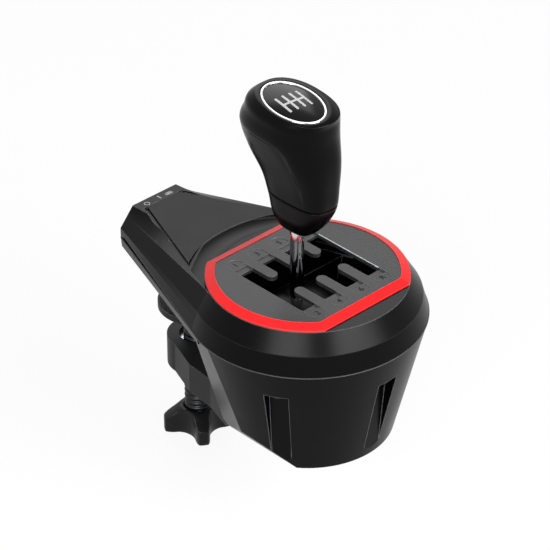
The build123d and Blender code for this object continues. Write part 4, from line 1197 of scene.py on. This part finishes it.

# %% [markdown]
# The slot for seventh and reverse is long and straight on its right. A strip of bright bare
# metal is laid on that wall as a painted highlight, for the light that falls on it. It could be
# painted into the plate's material, but a thin skin on the slot's wall keeps a sharp border,
# and its bevelled top edge catches the light.

# %% Painted highlight skin on the last slot's wall
SLOT_HALF = 5.9
WALL_NEAR = -29.0
WALL_FAR = 25.5
WALL_STEPS = 12
HIGHLIGHT_SKIN_SINK = 0.1
HIGHLIGHT_SKIN_THICKNESS = 0.3
HIGHLIGHT_SKIN_FOOT = -2.8
HIGHLIGHT_SKIN_TOP = 0.02
HIGHLIGHT_SKIN_BEVEL_IN = 0.2
HIGHLIGHT_SKIN_BEVEL_DOWN = 0.3

wall_x = 1.5 * GATE_PITCH + SLOT_HALF
highlight_skin_profile = (
    (HIGHLIGHT_SKIN_SINK, HIGHLIGHT_SKIN_FOOT),
    (-HIGHLIGHT_SKIN_THICKNESS, HIGHLIGHT_SKIN_FOOT),
    (-HIGHLIGHT_SKIN_THICKNESS, HIGHLIGHT_SKIN_TOP - HIGHLIGHT_SKIN_BEVEL_DOWN),
    (-HIGHLIGHT_SKIN_THICKNESS + HIGHLIGHT_SKIN_BEVEL_IN, HIGHLIGHT_SKIN_TOP),
    (HIGHLIGHT_SKIN_SINK, HIGHLIGHT_SKIN_TOP),
)
wall_places = [WALL_NEAR + (WALL_FAR - WALL_NEAR) * k / WALL_STEPS for k in range(WALL_STEPS + 1)]
highlight_skin_rings = [[place(wall_x + out, y, up) for out, up in highlight_skin_profile] for y in wall_places]
add_piece(
    "slot_wall_highlight_skin", mesh_from_rings("slot_wall_highlight_skin", highlight_skin_rings), zinc_plate, "housing",
    smooth=False,
)
print("worn wall at x", wall_x)

# %% [markdown]
# ## Seam lip
#
# The cover ends in a thin lip over the lower housing, coloured paler as a painted highlight,
# which draws a light line round the cup. It follows the seam: an arc round the cup, then
# straight along both sides of the arm. A small profile is set across that path at each of its
# points, which keeps its corners square, as a round curve's bevel would not.

# %% Seam lip
SEAM_RADIUS = 77.9
SEAM_DROP = 29.5
ARM_ROOT = 26.3
ARM_ROOT_HALF = 73.3
ARM_TIP = 146.0
ARM_TIP_HALF = 30.5
LIP_IN = 0.5
LIP_OUT = 0.25
LIP_HALF_HEIGHT = 0.4
LIP_EDGE_HALF = 0.15
LIP_POINTS = 90

# The lip's paler colour, and the paler colour along its edges, are a painted highlight.
lip_highlight_plastic = moulded_plastic(
    "black_abs_painted_highlight", "#3c3c3e", "#6a6a6c", roughness=0.34, specular=0.20, edge_highlight_share=0.4
)


def seam_path():
    """The seam in plan, from the arm's tip on the right round the cup to the tip on the left."""
    start = math.atan2(ARM_ROOT, ARM_ROOT_HALF)
    sweep = math.pi + 2 * start
    turns = [start - sweep * k / LIP_POINTS for k in range(LIP_POINTS + 1)]
    arc = [Vector((SEAM_RADIUS * math.cos(t), SEAM_RADIUS * math.sin(t))) for t in turns]
    return [Vector((ARM_TIP_HALF, ARM_TIP))] + arc + [Vector((-ARM_TIP_HALF, ARM_TIP))]


spine = seam_path()
lip_profile = (
    (-LIP_IN, -LIP_HALF_HEIGHT), (LIP_OUT, -LIP_EDGE_HALF), (LIP_OUT, LIP_EDGE_HALF),
    (-LIP_IN, LIP_HALF_HEIGHT),
)
lip_rings = []
for k, point in enumerate(spine):
    ahead = spine[min(k + 1, len(spine) - 1)] - spine[max(k - 1, 0)]
    outward = Vector((-ahead.y, ahead.x)).normalized()
    corners = [(point + outward * out, up - SEAM_DROP) for out, up in lip_profile]
    lip_rings.append([place(p.x, p.y, up) for p, up in corners])
add_piece(
    "seam_lip", mesh_from_rings("seam_lip", lip_rings), lip_highlight_plastic, "housing",
    smooth=False,
)
print("lip rings:", len(lip_rings))

# %% [markdown]
# ## Marks on the arm
#
# The arm's tip carries three small pale marks for its lamp, switch and socket: a circle, a
# bar and a pill. Each is a closed loop, about a tenth of a millimetre high, on the arm's
# sloping top, and one that is an outline has an inner wall as well.

# %% Mark outlines
ARM_TOP_AT_ROOT = 3.0
ARM_TOP_AT_TIP = 9.2
MARK_RISE = 0.12
MARK_SINK = 0.1
MARK_POINTS = 40


def arm_top(y):
    """The height of the arm's flat top over the gate, in millimetres."""
    share = (y - ARM_ROOT) / (ARM_TIP - ARM_ROOT)
    return -ARM_TOP_AT_ROOT - (ARM_TOP_AT_TIP - ARM_TOP_AT_ROOT) * share


def mark_loop(middle, half_width, half_length, rise):
    """A rounded loop on the arm's top, round a middle, in metres."""
    radius = min(half_width, half_length)
    loop = []
    for i in range(MARK_POINTS):
        turn = 2 * math.pi * (i + 0.5) / MARK_POINTS
        x = radius * math.cos(turn) + math.copysign(half_width - radius, math.cos(turn))
        y = radius * math.sin(turn) + math.copysign(half_length - radius, math.sin(turn))
        loop.append(place(middle[0] + x, middle[1] + y, arm_top(middle[1] + y) + rise))
    return loop


print("arm's top at its tip:", round(arm_top(ARM_TIP), 1), "mm")

# %% [markdown]
# The marks' ink is a pale grey, matt enough not to flash. A mark with a wall thickness is an
# outline, and its rings come back to the first one instead of being closed by a face.

# %% Marks
pale_ink = printed_ink("screen_print_ink_pale", "#8a8a8c", "#b0b0b2", roughness=0.45)


def add_mark(name, middle, half_width, half_length, wall=None):
    """A printed mark: solid, or an outline if a wall thickness is given."""
    outer = (middle, half_width, half_length)
    rings = [mark_loop(*outer, -MARK_SINK), mark_loop(*outer, MARK_RISE)]
    if wall:
        inner = (middle, half_width - wall, half_length - wall)
        rings += [mark_loop(*inner, MARK_RISE), mark_loop(*inner, -MARK_SINK), rings[0]]
    mesh = mesh_from_rings(name, rings, not wall, not wall)
    add_piece(name, mesh, pale_ink, "housing", smooth=False)


PILL_MIDDLE = (8.0, 140.5)
add_mark("mark_circle", (-11.3, 140.7), half_width=2.1, half_length=2.1, wall=0.55)
add_mark("mark_bar", (0.0, 141.2), half_width=0.5, half_length=2.2)
add_mark("mark_pill", PILL_MIDDLE, half_width=2.9, half_length=1.5, wall=0.5)
add_mark("mark_pill_core", PILL_MIDDLE, half_width=1.9, half_length=0.6)
